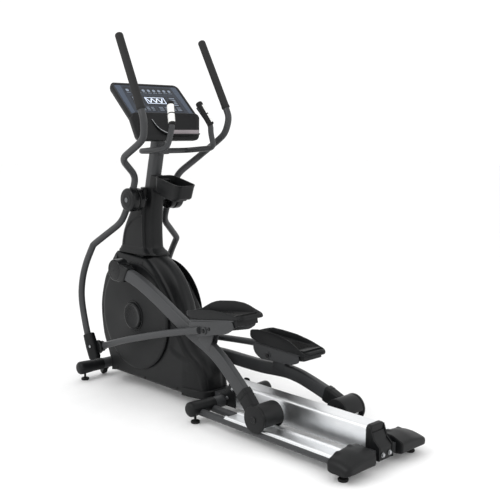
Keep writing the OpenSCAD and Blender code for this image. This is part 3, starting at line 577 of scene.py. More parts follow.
def hexagon(x0, x1, centre, across_mm=17):
    """Hexagon bolt head with chamfered corners, along X."""
    outer = across_mm * MM / math.sqrt(3)
    angles = np.radians(np.arange(0, 360, 60))
    flat = [(centre[0] + outer * math.cos(a), centre[1] + outer * math.sin(a)) for a in angles]
    edge = min(1.2 * MM, abs(x1 - x0) / 3)
    return slab(flat, min(x0, x1), max(x0, x1), edge, 2)


def knuckle_bolt():
    """Bolt through the knuckle, and the boot's small clamp screw."""
    knee = KNUCKLE_MEAN
    return joined(
        hexagon(205 * MM, 213 * MM, knee),
        drum(214 * MM, 250 * MM, 7.8 * MM, 0.6 * MM, knee, 40),
        hexagon(302 * MM, 308 * MM, (knee.x + 8 * MM, knee.y + 8 * MM), 13),
    )


def swing_arms():
    """Pieces that ride on the swing arms."""
    both("handle_tube", upper_tube(), PAINT, "swing_", ["handle_"], SWUNG)
    both("hand_grip_sleeve", hand_grip(), FOAM, "swing_", ["hand_grip_"], SWUNG)
    both("lower_swing_tube", lower_tube(), PAINT, "swing_", ["swing_tube_"], SWUNG)
    both("pivot_housing", pivot_housing(), GLOSS_ABS, "swing_", ["pivot_cover_"], SWUNG)
    both("pivot_cap", housing_cap(), ABS, "swing_", (), SWUNG)
    both("swing_boot_shell", swing_boot(), ABS, "swing_", ["swing_boot_"], SWUNG)
    both("knuckle_cap", knuckle_cap(), GLOSS_ABS, "swing_", (), SWUNG)
    both("knuckle_bolt", knuckle_bolt(), ZINC, "swing_", (), SWUNG)


# ---- Main arms and rollers ----

ARM_X = 191
ARM_W = 38
ARM_DEPTH = 64
PIVOT = np.array((430, 165))


def arm_line(steps):
    """Centre line of the main arm above its chord, in millimetres, roller end first."""
    end = ARM_LEN / MM
    return spline(
        [
            (56, 9), (102, 26), (172, 45), (242, 62), (302, 74), (372, 80), (447, 76),
            (end - 620, 66), (end - 500, 62), (end - 345, 60), (end - 200, 50),
            (end - 110, 34), (end - 52, 14),
        ],
        steps,
    )


def along_arm(line, width_mm, depth_mm, radius_mm):
    """Rounded rectangular tube along a line in the arm's plane."""
    path = np.array([(ARM_X, y, z) for y, z in line]) * MM
    slope = np.gradient(path, axis=0)
    slope /= np.linalg.norm(slope, axis=1)[:, None]
    section = rounded_rect(width_mm * MM, depth_mm * MM, radius_mm * MM)
    rings = []
    for point, t in zip(path, slope):
        up = np.array((0, -t[2], t[1]))
        rings.append([point + a * np.array((1, 0, 0)) + b * up for a, b in section])
    return loft(rings)


def main_arm():
    """Bent rectangular tube with a pair of lug plates that carry the pedal pivot."""
    arm = along_arm(arm_line(6), ARM_W, ARM_DEPTH, 9)
    neck = [(34, 0), (16, 17), (0, 23), (-16, 17), (-34, 0), (-46, -90), (40, -92)]
    outline = np.array([np.array(p) + PIVOT for p in neck]) * MM
    lugs = [slab(outline, (ARM_X + x) * MM, (ARM_X + x + 6) * MM, 1.2 * MM) for x in (-20, 14)]
    boss = drum((ARM_X - 21) * MM, (ARM_X + 21) * MM, 19 * MM, 2 * MM, PIVOT * MM, 48)
    return joined(arm, *lugs, boss)


def arm_cover():
    """Round cover of the crank bearing, hollow inside, with a sleeve over the arm's end."""
    end = ARM_LEN
    x0, x1, r = 156 * MM, 217 * MM, 56 * MM
    wall = [(x0, r - 7 * MM), (x0, r - 1 * MM), (x0 + 1 * MM, r)]
    rim = round_edge(x1, r, 9 * MM, 6)
    face = [(x1 + 1.5 * MM, 34 * MM), (x1 + 2 * MM, 2 * MM)]
    inside = [(x1 - 4 * MM, 2 * MM), (x1 - 5 * MM, r - 7 * MM)]
    shell_of = wall + rim + face + inside
    angles = np.linspace(0, 2 * math.pi, 96, endpoint=False)
    rings = [[(x, end + q * math.cos(a), q * math.sin(a)) for a in angles] for x, q in shell_of]
    rings.append(rings[0])
    drum_shell = loft(rings, (False, False))
    arc = np.radians(np.linspace(-104, 112, 44))
    nose = [(end + 55 * MM * math.cos(a), 55 * MM * math.sin(a)) for a in arc]
    heel = [(end - 70 * MM, 62 * MM), (end - 96 * MM, 69 * MM), (end - 92 * MM, -13 * MM),
            (end - 60 * MM, -34 * MM)]
    shoe = slab(np.array(nose + heel), 166 * MM, 216 * MM, 8 * MM)
    return joined(drum_shell, shoe)


def roller_shell():
    """Round housing over the rollers, open below, with flanged ends and a seam."""
    r, wall = 60 * MM, 8 * MM
    cut = math.radians(14)
    dip = math.asin(12 / 52)
    angles = np.linspace(-dip - cut, math.pi + dip - cut, 60)
    band = [(r * math.cos(a), r * math.sin(a)) for a in angles]
    back = [((r - wall) * math.cos(a), (r - wall) * math.sin(a)) for a in angles[::-1]]
    shell_of = slab(np.array(band + back), 106 * MM, 214 * MM, 1 * MM)
    inner = drum(101 * MM, 106.5 * MM, r - 1 * MM, 1.5 * MM)
    outer = drum(215.5 * MM, 229 * MM, r + 1 * MM, 3 * MM)
    return joined(shell_of, inner, outer)


def arm_boot():
    """Moulded boot where the arm enters the roller housing, with a raised lip."""
    line = arm_line(6)
    stem = np.vstack([[(22, -2), (38, 3)], line[:9]])
    body = along_arm(stem, ARM_W + 9, ARM_DEPTH + 8, 12)
    lip = along_arm(line[7:10], ARM_W + 12, ARM_DEPTH + 11, 13)
    return joined(body, lip)


def roller_cap():
    """Cap over the roller axle's nut."""
    profile = [(228, 15), (231.5, 15), (232.5, 13.6), (232.5, 9), (231, 7), (231, 0.5)]
    return turned_mm(profile, sides=48)


def track_roller():
    """Crowned urethane wheel on a recessed hub, one over each ridge of the track."""
    wheels = []
    for x in RIDGES:
        profile = [
            (x - 12, 18), (x - 9, 20), (x - 9, 30), (x - 12, 32), (x - 12, 37), (x - 9, 39.7),
            (x + 9, 39.7), (x + 12, 37), (x + 12, 32), (x + 9, 30), (x + 9, 20), (x + 12, 18),
        ]
        wheels.append(turned_mm(profile, sides=72))
    hub = drum(108 * MM, 220 * MM, 18 * MM, 1 * MM, (0, 0), 48)
    return joined(*wheels, hub)


def main_arms():
    """Pieces that ride on the main arms, and the rollers."""
    both("main_arm_tube", main_arm(), PAINT, "arm_", ["main_arm_"], ARM)
    both("crank_cover", arm_cover(), GLOSS_ABS, "arm_", ["arm_cover_"], ARM)
    both("roller_shell", roller_shell(), ABS, "arm_", ["roller_housing_"], ARM)
    both("arm_boot", arm_boot(), ABS, "arm_", (), ARM)
    both("roller_cap", roller_cap(), GLOSS_ABS, "arm_", (), ARM)
    both("track_roller", track_roller(), NYLON, "roller_", ["roller_"], ROLLER)


# ---- Pedal links and foot pedals ----

BRACKET_X = (100, 238)
PEDAL_TILT = math.radians(7)
PEDAL_X = 163
PEDAL_W = 150
PEDAL_FRONT = 136
PEDAL_LEN = 392


def link_tube():
    """Gently bowed tube of the pedal link, with its front eye."""
    end = LINK_LEN / MM
    line = spline(
        [(241, 30, 6), (241, 120, 10), (241, 300, 15), (241, end - 300, 14), (241, end - 140, 8),
         (241, end - 24, 0)],
        8,
    )
    eye = [(228, 21), (228, 26), (230, 28), (245, 28), (247, 26), (247, 21), (228, 21)]
    angles = np.linspace(0, 2 * math.pi, 64, endpoint=False)
    rings = [
        [(x * MM, LINK_LEN + r * MM * math.cos(a), r * MM * math.sin(a)) for a in angles]
        for x, r in eye
    ]
    return joined(tube(line * MM, TUBE_R), loft(rings, (False, False)))


def bracket_plate():
    """Outer side plate of the pedal bracket, with a rolled edge and a rounded nose."""
    corners = [
        (96, 54), (104, 30), (92, 2), (56, -22), (-150, -29), (-199, -14), (-199, 20), (-60, 36),
    ]
    closed = [np.mean([corners[0], corners[-1]], axis=0), *corners]
    closed.append(closed[0])
    outline = bend(closed, 16, 5)[:-1] * MM
    return outline[::-1]


def pedal_bracket():
    """Two side plates, a top plate and the pivot bosses under the pedal."""
    plates = [
        slab(bracket_plate(), x * MM, (x + 6) * MM, 2 * MM)
        for x in (BRACKET_X[0], BRACKET_X[1] - 6)
    ]
    c, s = math.cos(PEDAL_TILT), math.sin(PEDAL_TILT)
    top = [(-202, 43), (92, 43), (92, 50), (-202, 50)]
    turned_top = np.array([(y * c - z * s, y * s + z * c) for y, z in top]) * MM
    deck = slab(turned_top, BRACKET_X[0] * MM, BRACKET_X[1] * MM, 2 * MM)
    boss = drum(232 * MM, 245 * MM, 17 * MM, 2.5 * MM, (0, 0), 48)
    inner_boss = drum(96 * MM, 104 * MM, 17 * MM, 2.5 * MM, (0, 0), 48)
    return joined(*plates, deck, boss, inner_boss)


def bracket_bolts():
    """Pivot pin ends and the bolts that hold the pedal, on the bracket's outer face."""
    spots = [(-34, 4), (58, 14)]
    heads = [hexagon(237 * MM, 241 * MM, np.array(s) * MM, 15) for s in spots]
    pin = hexagon(244 * MM, 250 * MM, (0, 0), 19)
    pin_in = hexagon(90 * MM, 96 * MM, (0, 0), 19)
    shaft = drum(96 * MM, 246 * MM, 8.9 * MM, 0.5 * MM, (0, 0), 40)
    return joined(*heads, pin, pin_in, shaft)


def pedal_wall(x, y):
    """Height of the pedal's rim above its base: low outside, with a crest on the inner side."""
    back, toe = PEDAL_FRONT - PEDAL_LEN, PEDAL_FRONT
    places = [back, back + 26, back + 110, back + 200, toe - 100, toe - 30, toe]
    low = np.interp(y, places, [2, 14, 34, 45, 46, 43, 36])
    crest = 22 * ramp(y, back, back + 150) * ramp(y, toe + 60, toe - 90)
    return low + crest * ramp(-x, 30, 68)


def pedal_floor(y):
    """Height of the pedal's underside: flat, and lifted at the toe."""
    return np.interp(y, [PEDAL_FRONT - 78, PEDAL_FRONT], [0, 20])


def pedal_ring(depth, height_of):
    """Ring round the pedal, that far inside its plan, at a height given for each point."""
    around = rounded_rect(PEDAL_W - 2 * depth, PEDAL_LEN - 2 * depth, max(34 - depth, 8), 9)
    sides = []
    for a, b in zip(around, np.roll(around, -1, 0)):
        parts = 1 if np.linalg.norm(b - a) < 60 else 10
        sides += [a + (b - a) * k / parts for k in range(parts)]
    mid = PEDAL_FRONT - PEDAL_LEN / 2
    return [
        ((PEDAL_X + x) * MM, (mid + y) * MM, (50 + height_of(x, mid + y)) * MM) for x, y in sides
    ]


def on_pedal(mesh):
    """A mesh drawn level, tilted with the pedal."""
    place = Matrix.Rotation(PEDAL_TILT, 4, "X")
    return [tuple(place @ Vector(v)) for v in mesh[0]], mesh[1]


def pedal_body():
    """Moulded pedal: a wall with a rounded rim round a sunken deck, taller on the inner side."""
    deck = 13
    rings = [
        pedal_ring(7, lambda x, y: pedal_floor(y)),
        pedal_ring(3, lambda x, y: pedal_floor(y) + 1),
        pedal_ring(1, lambda x, y: pedal_floor(y) * 0.9 + 5),
        pedal_ring(0, lambda x, y: pedal_wall(x, y) * 0.6),
        pedal_ring(0, lambda x, y: pedal_wall(x, y) - 5),
        pedal_ring(1, lambda x, y: pedal_wall(x, y) - 1.6),
        pedal_ring(3.4, pedal_wall),
        pedal_ring(6, lambda x, y: pedal_wall(x, y) - 1.2),
        pedal_ring(8, lambda x, y: pedal_wall(x, y) - 5),
        pedal_ring(11, lambda x, y: max(pedal_floor(y) + 8, deck + 4)),
        pedal_ring(15, lambda x, y: max(pedal_floor(y) + 6, deck)),
    ]
    return on_pedal(loft(rings))


def pedal_tread():
    """Raised lengthwise ribs of the non-slip deck."""
    ribs = []
    back = PEDAL_FRONT - PEDAL_LEN
    for k in range(-4, 5):
        short = 34 + 5 * abs(k)
        y0, y1 = back + short, PEDAL_FRONT - short - 16
        path = np.array([(PEDAL_X + 12 * k, y, 64.5) for y in np.linspace(y0, y1, 12)]) * MM
        ribs.append(sweep(path, rounded_rect(6 * MM, 5 * MM, 2 * MM, 4)))
    return on_pedal(joined(*ribs))


def heel_block():
    """Black spacer block between the pedal and its bracket."""
    outline = np.array([(-222, -6), (-226, 43), (60, 43), (60, 20), (-150, -10)]) * MM
    return slab(outline[::-1], 108 * MM, 230 * MM, 3 * MM)


def pedals():
    """Pieces that ride on the pedal links."""
    both("link_tube", link_tube(), PAINT, "link_", ["pedal_link_"], LINK)
    both("pedal_bracket", pedal_bracket(), PAINT, "link_", (), LINK)
    both("bracket_bolts", bracket_bolts(), GLOSS_ABS, "link_", (), LINK)
    both("pedal_shell", pedal_body(), ABS, "link_", ["foot_pedal_"], LINK, 24)
    both("pedal_tread", pedal_tread(), RUBBER, "link_", (), LINK)
    both("pedal_spacer", heel_block(), ABS, "link_", (), LINK)


# ---- Drive covers ----

SHELL_X = 105
EDGE = 22
FLUTE_X = 82
DISC_X = 121


def about_hub(rings):
    """Skin over rings drawn in millimetres about the crank hub."""
    hub = (0, HUB.x / MM, HUB.y / MM)
    return loft([(np.array(ring) + hub) * MM for ring in rings])


def closed_cover(front, back, rear, steps):
    """Side outline of the drive cover about the crank hub, with a level foot, in millimetres."""
    parts = [spline(front, steps), spline(back, steps), spline(rear, steps)]
    foot = np.linspace(rear[-1], front[0], 50)[1:-1]
    return np.vstack([*parts, foot])


def cover_outlines():
    """Outlines at the side face and at the centre plane, with matching points."""
    front = [(232, -341), (276, -242), (321, -136), (333, 31), (276, 206), (205, 324)]
    side = closed_cover(
        front,
        [(-44, 306), (-122, 252), (-204, 174), (-276, 84)],
        [(-322, 0), (-404, -112), (-470, -166), (-506, -222), (-518, -290), (-518, -341)],
        8,
    )
    centre = closed_cover(
        front,
        [(-96, 322), (-186, 276), (-264, 204), (-320, 106)],
        [(-350, 6), (-406, -98), (-472, -154), (-510, -214), (-522, -288), (-522, -341)],
        8,
    )
    return side, centre


def cover_width(y):
    """Share of the cover's full half width at a place behind the hub, seen from above."""
    return np.interp(y, [-534, -500, -460, -420, -380], [0.6, 0.78, 0.9, 0.97, 1.0])


def side_face(y, z):
    """Height of the cover's side face: a hollow behind the disc and a proud foot."""
    lip = np.interp(y, [-560, -440, -360, -300, -262, -250], [-150, -176, -172, -152, -118, -60])
    away = math.hypot(y, z)
    hollow = ramp(z, lip, lip + 34) * ramp(away, 290, 322) * (1 - ramp(z, -60, 60))
    waist = ramp(z, -206, -222) * ramp(y, -380, -420) * ramp(z, -310, -300)
    seat = 1 - ramp(away, 284, 286)
    return SHELL_X - 9 * hollow - 3 * waist - 1.5 * seat


def cover_half():
    """One half of the drive cover: rounded rim, hollow side and a spine along the back."""
    side, centre = cover_outlines()
    profile = [
        (0.3, 1, 0), (10, 1, 0.4), (20, 1, 1.8), (30, 0.97, 4.5), (38, 0.86, 8), (45, 0.6, 10),
        (51, 0.3, 10), (57, 0.08, 8), (63, 0, 6), (70, 0, 3.5), (77, 0, 2), (83, 0, 1),
    ]
    for a in np.radians(np.linspace(10, 90, 7)):
        profile.append((SHELL_X - EDGE + EDGE * math.sin(a), 0, 1 + EDGE * (1 - math.cos(a))))
    rings = []
    fade = np.array([[ramp(z, -110, 0)] for _, z in side])
    shoulder = np.array([[ramp(z, 170, 300)] for _, z in side])
    # The rim's hollows fade out near the square corners of the foot
    heel, toe = side.min(0), side[0]
    square = np.array(
        [[ramp(math.dist(q, heel), 0, 80) * ramp(math.dist(q, toe), 0, 50)] for q in side]
    )
    for x, share, depth in profile:
        start = side + share * (centre - side)
        shallow = min(depth, 4 * (x / FLUTE_X) ** 3)
        flute = depth if x > FLUTE_X else depth * fade + shallow * (1 - fade)
        ring = inset(start, (flute + 40 * shoulder * ramp(x, 62, SHELL_X)) * square)
        rings.append([(x * cover_width(y), y, z) for y, z in ring])
    rim = np.array([(y, z) for _, y, z in rings[-1]])
    for k in np.linspace(1, 0.12, 56)[1:]:
        rings.append([(side_face(*q) * cover_width(q[0]), *q) for q in rim * k])
    return about_hub(rings)


def cover_foot():
    """Low tray that the drive cover stands in, round the rear of its foot."""
    places = np.array([-380, -420, -460, -490, -512, -526, -532])
    widths = np.array([105, 102, 95, 84, 70, 50, 24])
    rings = []
    for grow, z in ((3, -342), (6, -340), (6, -308), (5, -304), (1, -300)):
        right = [(w + grow, y - grow * (i > 2)) for i, (w, y) in enumerate(zip(widths, places))]
        ring = spline([*right, *[(-w, y) for w, y in right[::-1]]], 5)
        rings.append([(x, y, z) for x, y in ring])
    return about_hub(rings)


def side_disc():
    """Large round disc over the crank: rolled rim, shallow dish and a raised hub ring."""
    x = DISC_X
    profile = [
        (x - 11, 282), (x - 9, 282), (x - 5, 280.6), (x - 3, 277), (x - 2, 268), (x - 2, 262),
        (x - 2.5, 240), (x - 3.5, 170), (x - 3.5, 96), (x - 1.5, 72), (x, 58), (x, 54),
    ]
    return turned_mm(profile, HUB, 160)


def disc_hub():
    """Round hub cap on the disc, with a stepped ring and a shallow dish."""
    profile = [
        (119, 80), (121.5, 80), (123, 79), (123.4, 76), (122.6, 73), (122.6, 71.5), (131, 69),
        (133, 66), (133.4, 62), (132, 57), (131, 50), (130.6, 20), (130.6, 1),
    ]
    return turned_mm(profile, HUB, 96)


def pin_boss():
    """Collar round the crank pin, between the disc and the arm's cover."""
    return turned_mm([(106, 34), (124, 30), (152, 24), (158, 24)])


def crank_turned(side_name):
    """Frame of a crank pin: at the pin, square to the machine."""
    return turn_about_x(middle("arm_cover_" + side_name).yz, 0)


def cover_screws():
    """Screws along the drive cover's lower edge."""
    spots = [(-69, -322), (-337, -318), (180, -318)]
    profile = [(103, 8), (106, 8), (107.4, 6), (106.4, 3), (106.4, 0.4)]
    return joined(*[turned_mm(profile, HUB + Vector(s) * MM, 32) for s in spots])


NECK_FRONT = spline([(326, 205), (430, 178), (540, 112), (620, 46), (669, 22)], 12)
NECK_BACK = spline([(326, -98), (352, -68), (400, -62), (500, -62), (610, -74), (669, -78)], 10)


def arch(y, z):
    """Share of the neck cover's sunken side panel at a place: 1 inside the arch, 0 outside."""
    front = np.interp(z, [352, 372, 430, 488, 519, 530], [186, 182, 148, 82, 14, -14])
    return (
        ramp(y, front, front - 9) * ramp(z, 352, 358) * ramp(z, 531, 520) * ramp(y, -36, -30)
    )


def neck_section(z):
    """Right half of the neck cover's plan at a height: column behind, flanks, round nose."""
    front = np.interp(z, *NECK_FRONT.T)
    back = np.interp(z, *NECK_BACK.T)
    deep = min(40.0, 0.36 * (front - back))
    foot = 3 * (1 - ramp(z, 344, 350)) + 6 * (1 - ramp(z, 326, 340))
    column = [(0, 0), (16, 0.4), (30, 3), (38, 9), (42, 18), (43, deep), (46, deep + 4)]
    half = [(x + foot, back - foot + y) for x, y in column]
    half[0] = (0, back - foot)
    half += [(60 + foot, back + deep + 5), (65 + foot, back + deep + 9)]
    start, stop = back + deep + 13, front - 46
    for y in np.linspace(start, max(stop, start + 6), 34):
        half.append((67 + foot - 5 * arch(y, z), y))
    nose = min(46.0, front - start - 6)
    for a in np.radians(np.linspace(10, 90, 9)):
        x = 67 - 46 + 46 * math.cos(a)
        half.append((x + foot if a < 1.5 else 0, front + foot - nose * (1 - math.sin(a))))
    return half


def neck():
    """Tall cover from the drive cover up to the swing pivot."""
    rings = []
    for z in [*np.linspace(318, 344, 5), *np.linspace(347, 660, 78), 664.0, 668.0]:
        half = neck_section(max(z, 326))
        shrink = 1 - 0.03 * ramp(z, 660, 668)
        whole = half + [(-x, y) for x, y in half[-2:0:-1]]
        rings.append([(x * shrink, y, z) for x, y in whole])
    return about_hub(rings)


def covers():
    """Drive cover, side discs and neck."""
    both("drive_cover", cover_half(), ABS, "frame", ["shroud_"], sharp=40)
    piece("cover_foot", cover_foot(), ABS, "frame")
    both("side_disc", side_disc(), ABS, "crank", ["crank_disc_"])
    both("disc_hub", disc_hub(), GLOSS_ABS, "crank", ["hub_caps"])
    both("pin_boss", pin_boss(), ABS, "crank", (), {s: crank_turned(s) for s in SIDES})
    both("cover_screws", cover_screws(), RUBBER, "frame")
    piece("neck_shell", neck(), ABS, "frame", ["neck_cover"], sharp=40)


# ---- Mast, console and bottle holder ----

MAST_LEAN = math.radians(13.5)
CONSOLE_HALF = 214
FACE_LEN = 262
FACE_TILT = math.radians(43.6)
LIP_TILT = math.radians(76.7)
MAST_TOP = 1335
HOLDER_TOP = 1128
BAR_Z = 1252
BAR_R = 14


def mast_at(z_mm):
    """Middle of the mast at a height, along Y, in millimetres."""
    return SWING.x / MM + 16 - (z_mm - SWING.y / MM) * math.tan(MAST_LEAN)


FACE_FOOT = Vector((0, mast_at(MAST_TOP) - 68, 1412)) * MM


def on_face(tilt):
    """Frame of the console: X across, Y up the face, Z out of it."""
    return Matrix.Translation(FACE_FOOT) @ Matrix.Rotation(tilt, 4, "X")


def plate(width, height, radius, levels, centre=(0, 0)):
    """Stack of rounded rectangles: levels is a list of (inset, height above the face)."""
    rings = []
    for cut, z in levels:
        shape = rounded_rect(width - 2 * cut, height - 2 * cut, max(radius - cut, 1.0), 9)
        rings.append([((x + centre[0]) * MM, (y + centre[1]) * MM, z * MM) for x, y in shape])
    return rings


def face_box(u0, u1, v0, v1, level, radius=3, thick=0.6):
    """Thin printed or moulded patch on the console's face between two corners."""
    wide, high = u1 - u0, v1 - v0
    cut = thick * 0.4
    levels = [(0, level - 1), (0, level + thick - cut), (cut, level + thick)]
    centre = ((u0 + u1) / 2, (v0 + v1) / 2)
    return loft(plate(wide, high, min(radius, wide / 2.2, high / 2.2), levels, centre))


def mast_tube():
    """Leaning mast: one rounded rectangular tube."""
    z = np.linspace(700, MAST_TOP, 24)
    path = np.array([(0, mast_at(h), h) for h in z]) * MM
    shape = [(b, a) for a, b in rounded_rect(62 * MM, 80 * MM, 27 * MM, 10)]
    rings = [[(p[0] + v, p[1] + u, p[2]) for u, v in shape] for p in path]
    return loft(rings)


def console_shell():
    """Back of the console: a rounded pod behind the face, with a parting line."""
    levels = [
        (150, -58), (96, -56), (50, -50), (22, -42), (9, -34), (3, -24), (0.5, -14), (0, -11),
        (1.5, -10), (1.5, -9),
    ]
    return loft(plate(2 * CONSOLE_HALF, FACE_LEN, 30, levels, (0, FACE_LEN / 2)))


def console_frame():
    """Bezel round the display face, with a rolled rim that stands above the overlay."""
    levels = [
        (1.5, -10), (0, -9), (-0.5, -4), (1, -0.5), (4, 1), (9, 1.2), (13, 0), (15, -2.2), (15, -6),
    ]
    return loft(plate(2 * CONSOLE_HALF, FACE_LEN, 30, levels, (0, FACE_LEN / 2)))


def console_lip():
    """Lower part of the console under the face, with a reading ledge."""
    levels = [
        (60, -58), (26, -52), (8, -42), (1, -30), (0, -12), (0, -3), (2, 0.4), (6, 2), (30, 2.2),
    ]
    body = loft([
        [(x * (0.9 + 0.1 * ramp(y, -108 * MM, 0)), y, z) for x, y, z in ring]
        for ring in plate(2 * CONSOLE_HALF - 2, 140, 26, levels, (0, -39))
    ])
    ledge = [
        (-100, -4, 3), (-72, -54, 12), (-20, -86, 26), (60, -88, 27), (150, -86, 24), (196, -78, 6),
    ]
    wall = []
    for x, y, z in bend(ledge, 30):
        top = [(x, y - 3, z - 1), (x, y, z), (x, y + 3, z - 1)]
        wall.append([(x, y + 3, -2), (x, y - 3, -2), *top])
    return joined(body, loft([np.array(r) * MM for r in wall]))


def painted_ledge_highlight():
    """Bright zinc bead along the reading ledge's upper edge: a painted highlight standing in for the
    light caught by the ledge's edge.
    """
    line = bend([(-100, -4, 5), (-72, -54, 14), (-20, -84, 28)], 26)
    return tube(line * MM, 1.7 * MM, 12)


def label_strip():
    """Printed strip on the console's lower part."""
    return face_box(-4, 190, -78, -58, 5, 3, 1.2)


def overlay_sheet():
    """Printed sheet that covers the display face."""
    return face_box(-198, 198, 16, 246, -3, 14, 1.4)


def side_bands():
    """Two lighter printed bands down the sides of the overlay."""
    bands = []
    for s in (-1, 1):
        top, bottom = 158, 172
        ring = [(s * top, 243), (s * (top + 36), 243), (s * (bottom + 24), 20), (s * bottom, 20)]
        levels = [[(x * MM, y * MM, z * MM) for x, y in ring] for z in (-2, -1.3)]
        bands.append(loft(levels))
    return joined(*bands)


def dark_panels():
    """Dark printed groups behind the display, the keys and the marks."""
    spans = [
        (-74, 82, 100, 168), (-140, -84, 92, 168), (92, 146, 92, 168), (-150, 150, 22, 48),
        (-146, -24, 56, 90), (-14, 146, 56, 90), (-150, 150, 186, 234),
    ]
    return joined(*[face_box(*s, -1.7, 5, 0.5) for s in spans])


def display_window():
    """Dark window of the display."""
    return face_box(-60, 68, 108, 161, -1.4, 3, 0.7)


def lit_marks():
    """Lit window: a thin frame round slanted strokes of a speed profile."""
    low, high, left, right = 112, 158, -56, 64
    marks = [
        face_box(left, right, low, low + 3, -0.9, 1, 0.3),
        face_box(left, right, high - 3, high, -0.9, 1, 0.3),
        face_box(left, left + 4, low, high, -0.9, 1, 0.3),
        face_box(right - 4, right, low, high, -0.9, 1, 0.3),
    ]
    for k in range(6):
        u = left + 12 + 17 * k
        lean = 8 if k % 2 else -8
        ring = [(u - lean, 119), (u - lean + 6, 119), (u + lean + 6, 151), (u + lean, 151)]
        marks.append(loft([[(x * MM, y * MM, z * MM) for x, y in ring] for z in (-1.2, -0.6)]))
    return joined(*marks)


def pale_marks():
    """Pale printed marks: a row of round icons, key outlines and short rules."""
    marks = []
    for k in range(9):
        u = -132 + 33 * k
        marks.append(face_box(u - 9, u + 9, 200, 218, -1.2, 9, 0.3))
        marks.append(face_box(u - 12, u + 12, 190, 193, -1.2, 1, 0.3))
    for k in range(8):
        u = -138 + 36 * k
        marks.append(face_box(u, u + 24, 30, 40, -1.2, 4, 0.5))
    for row in (64, 74, 84):
        for k in range(4):
            marks.append(face_box(-138 + 28 * k, -120 + 28 * k, row - 2, row + 2, -1.2, 1, 0.3))
            marks.append(face_box(-4 + 38 * k, 22 + 38 * k, row - 2, row + 2, -1.2, 1, 0.3))
    for s in (-131, 101):
        for k in range(5):
            marks.append(face_box(s, s + 34, 100 + 13 * k, 106 + 13 * k, -1.2, 2, 0.3))
    return joined(*marks)


def holder_frame():
    """Frame of the bottle holder: its top, behind the mast and leaning with it."""
    front = mast_at(HOLDER_TOP) - 38 - 44
    return Matrix.Translation(mm(0, front, HOLDER_TOP)) @ Matrix.Rotation(MAST_LEAN, 4, "X")


def holder_ring(width, length, radius, z, shift=0.0):
    """Level outline of the bottle holder, below its top by -z."""
    shape = rounded_rect(width, length, radius, 9)
    return [(x * MM, (y - 98 + shift) * MM, z * MM) for x, y in shape]


def holder_cup():
    """Bottle holder: a deep tray with a rolled rim, a thick wall and a stepped base."""
    rings = [
        holder_ring(84, 120, 20, -90, 8), holder_ring(96, 140, 24, -90, 6),
        holder_ring(100, 146, 26, -85, 5), holder_ring(102, 152, 26, -76, 4),
        holder_ring(112, 178, 28, -75, 1), holder_ring(116, 188, 30, -68),
        holder_ring(122, 194, 31, -20), holder_ring(124, 197, 32, -8),
        holder_ring(127, 200, 33, -5), holder_ring(128, 201, 34, -1.5),
        holder_ring(126, 199, 33, 0), holder_ring(119, 192, 30, 0),
        holder_ring(116, 189, 29, -1.5), holder_ring(114, 187, 28, -12),
        holder_ring(108, 176, 26, -68), holder_ring(60, 110, 16, -72),
    ]
    return loft(rings)


def holder_saddle():
    """Clamp block between the bottle holder and the mast."""
    rings = []
    for cut, z in [(4, -94), (0, -90), (0, -18), (3, -14), (8, -13)]:
        shape = rounded_rect(70 - 2 * cut, 96 - 2 * cut, 14, 7)
        rings.append([(x * MM, (y + 24) * MM, z * MM) for x, y in shape])
    return loft(rings)


BAR_Y = mast_at(BAR_Z) - 40 - BAR_R + 4
BAR_END = (88, BAR_Y - 178, 1489)
BAR = [
    (150, BAR_Y, BAR_Z), (148, BAR_Y - 225, 1268), (126, BAR_Y - 225, 1340), (121, BAR_Y - 232, 1383),
]


def grip_point(t):
    """Point on a fixed grip's axis: 0 at the foot and 1 at the top."""
    a, b = np.array(BAR[-1]), np.array(BAR_END)
    return (a + t * (b - a)) * MM


def fixed_bar():
    """One bent bar: across behind the mast, back beside the user and up to the grips."""
    far = [(-x, y, z) for x, y, z in BAR]
    ends = [np.array(BAR_END) - (0, 0, 20)]
    corners = [ends[0] * (-1, 1, 1), *far[::-1], *BAR, ends[0]]
    return tube(bend(corners, 42) * MM, BAR_R * MM)


def fixed_grip():
    """Rubber sleeve over the end of the fixed bar."""
    line = [grip_point(t) for t in np.linspace(0.02, 0.97, 20)]
    return tube(line, 17.5 * MM, dome=9 * MM)


def pulse_plate(start, end):
    """Curved contact plate on the outer face of a fixed grip, edge rolled in."""
    axis = unit(grip_point(1) - grip_point(0))
    out = unit(np.cross(axis, np.cross((0.96, -0.18, 0), axis)))
    across = np.cross(axis, out)
    rings = []
    lengths = np.linspace(start, end, 12)
    for i, t in enumerate(lengths):
        soft = min(i, len(lengths) - 1 - i)
        radius = (18.2 if soft == 0 else 19.0) * MM
        angles = np.radians(np.linspace(-96, 96, 25))
        ways = [math.cos(a) * out + math.sin(a) * across for a in angles]
        outer = [grip_point(t) + radius * w for w in ways]
        inner = [grip_point(t) + 16.5 * MM * w for w in ways[::-1]]
        rings.append(outer + inner)
    return loft(rings)


def bar_clamp():
    """Saddle that holds the bar to the back of the mast."""
    path = [(x * MM, BAR_Y * MM, BAR_Z * MM) for x in (-34, -31, 31, 34)]
    sizes = [circle(r * MM, 32) for r in (15, 18, 18, 15)]
    return sweep(path, sizes)


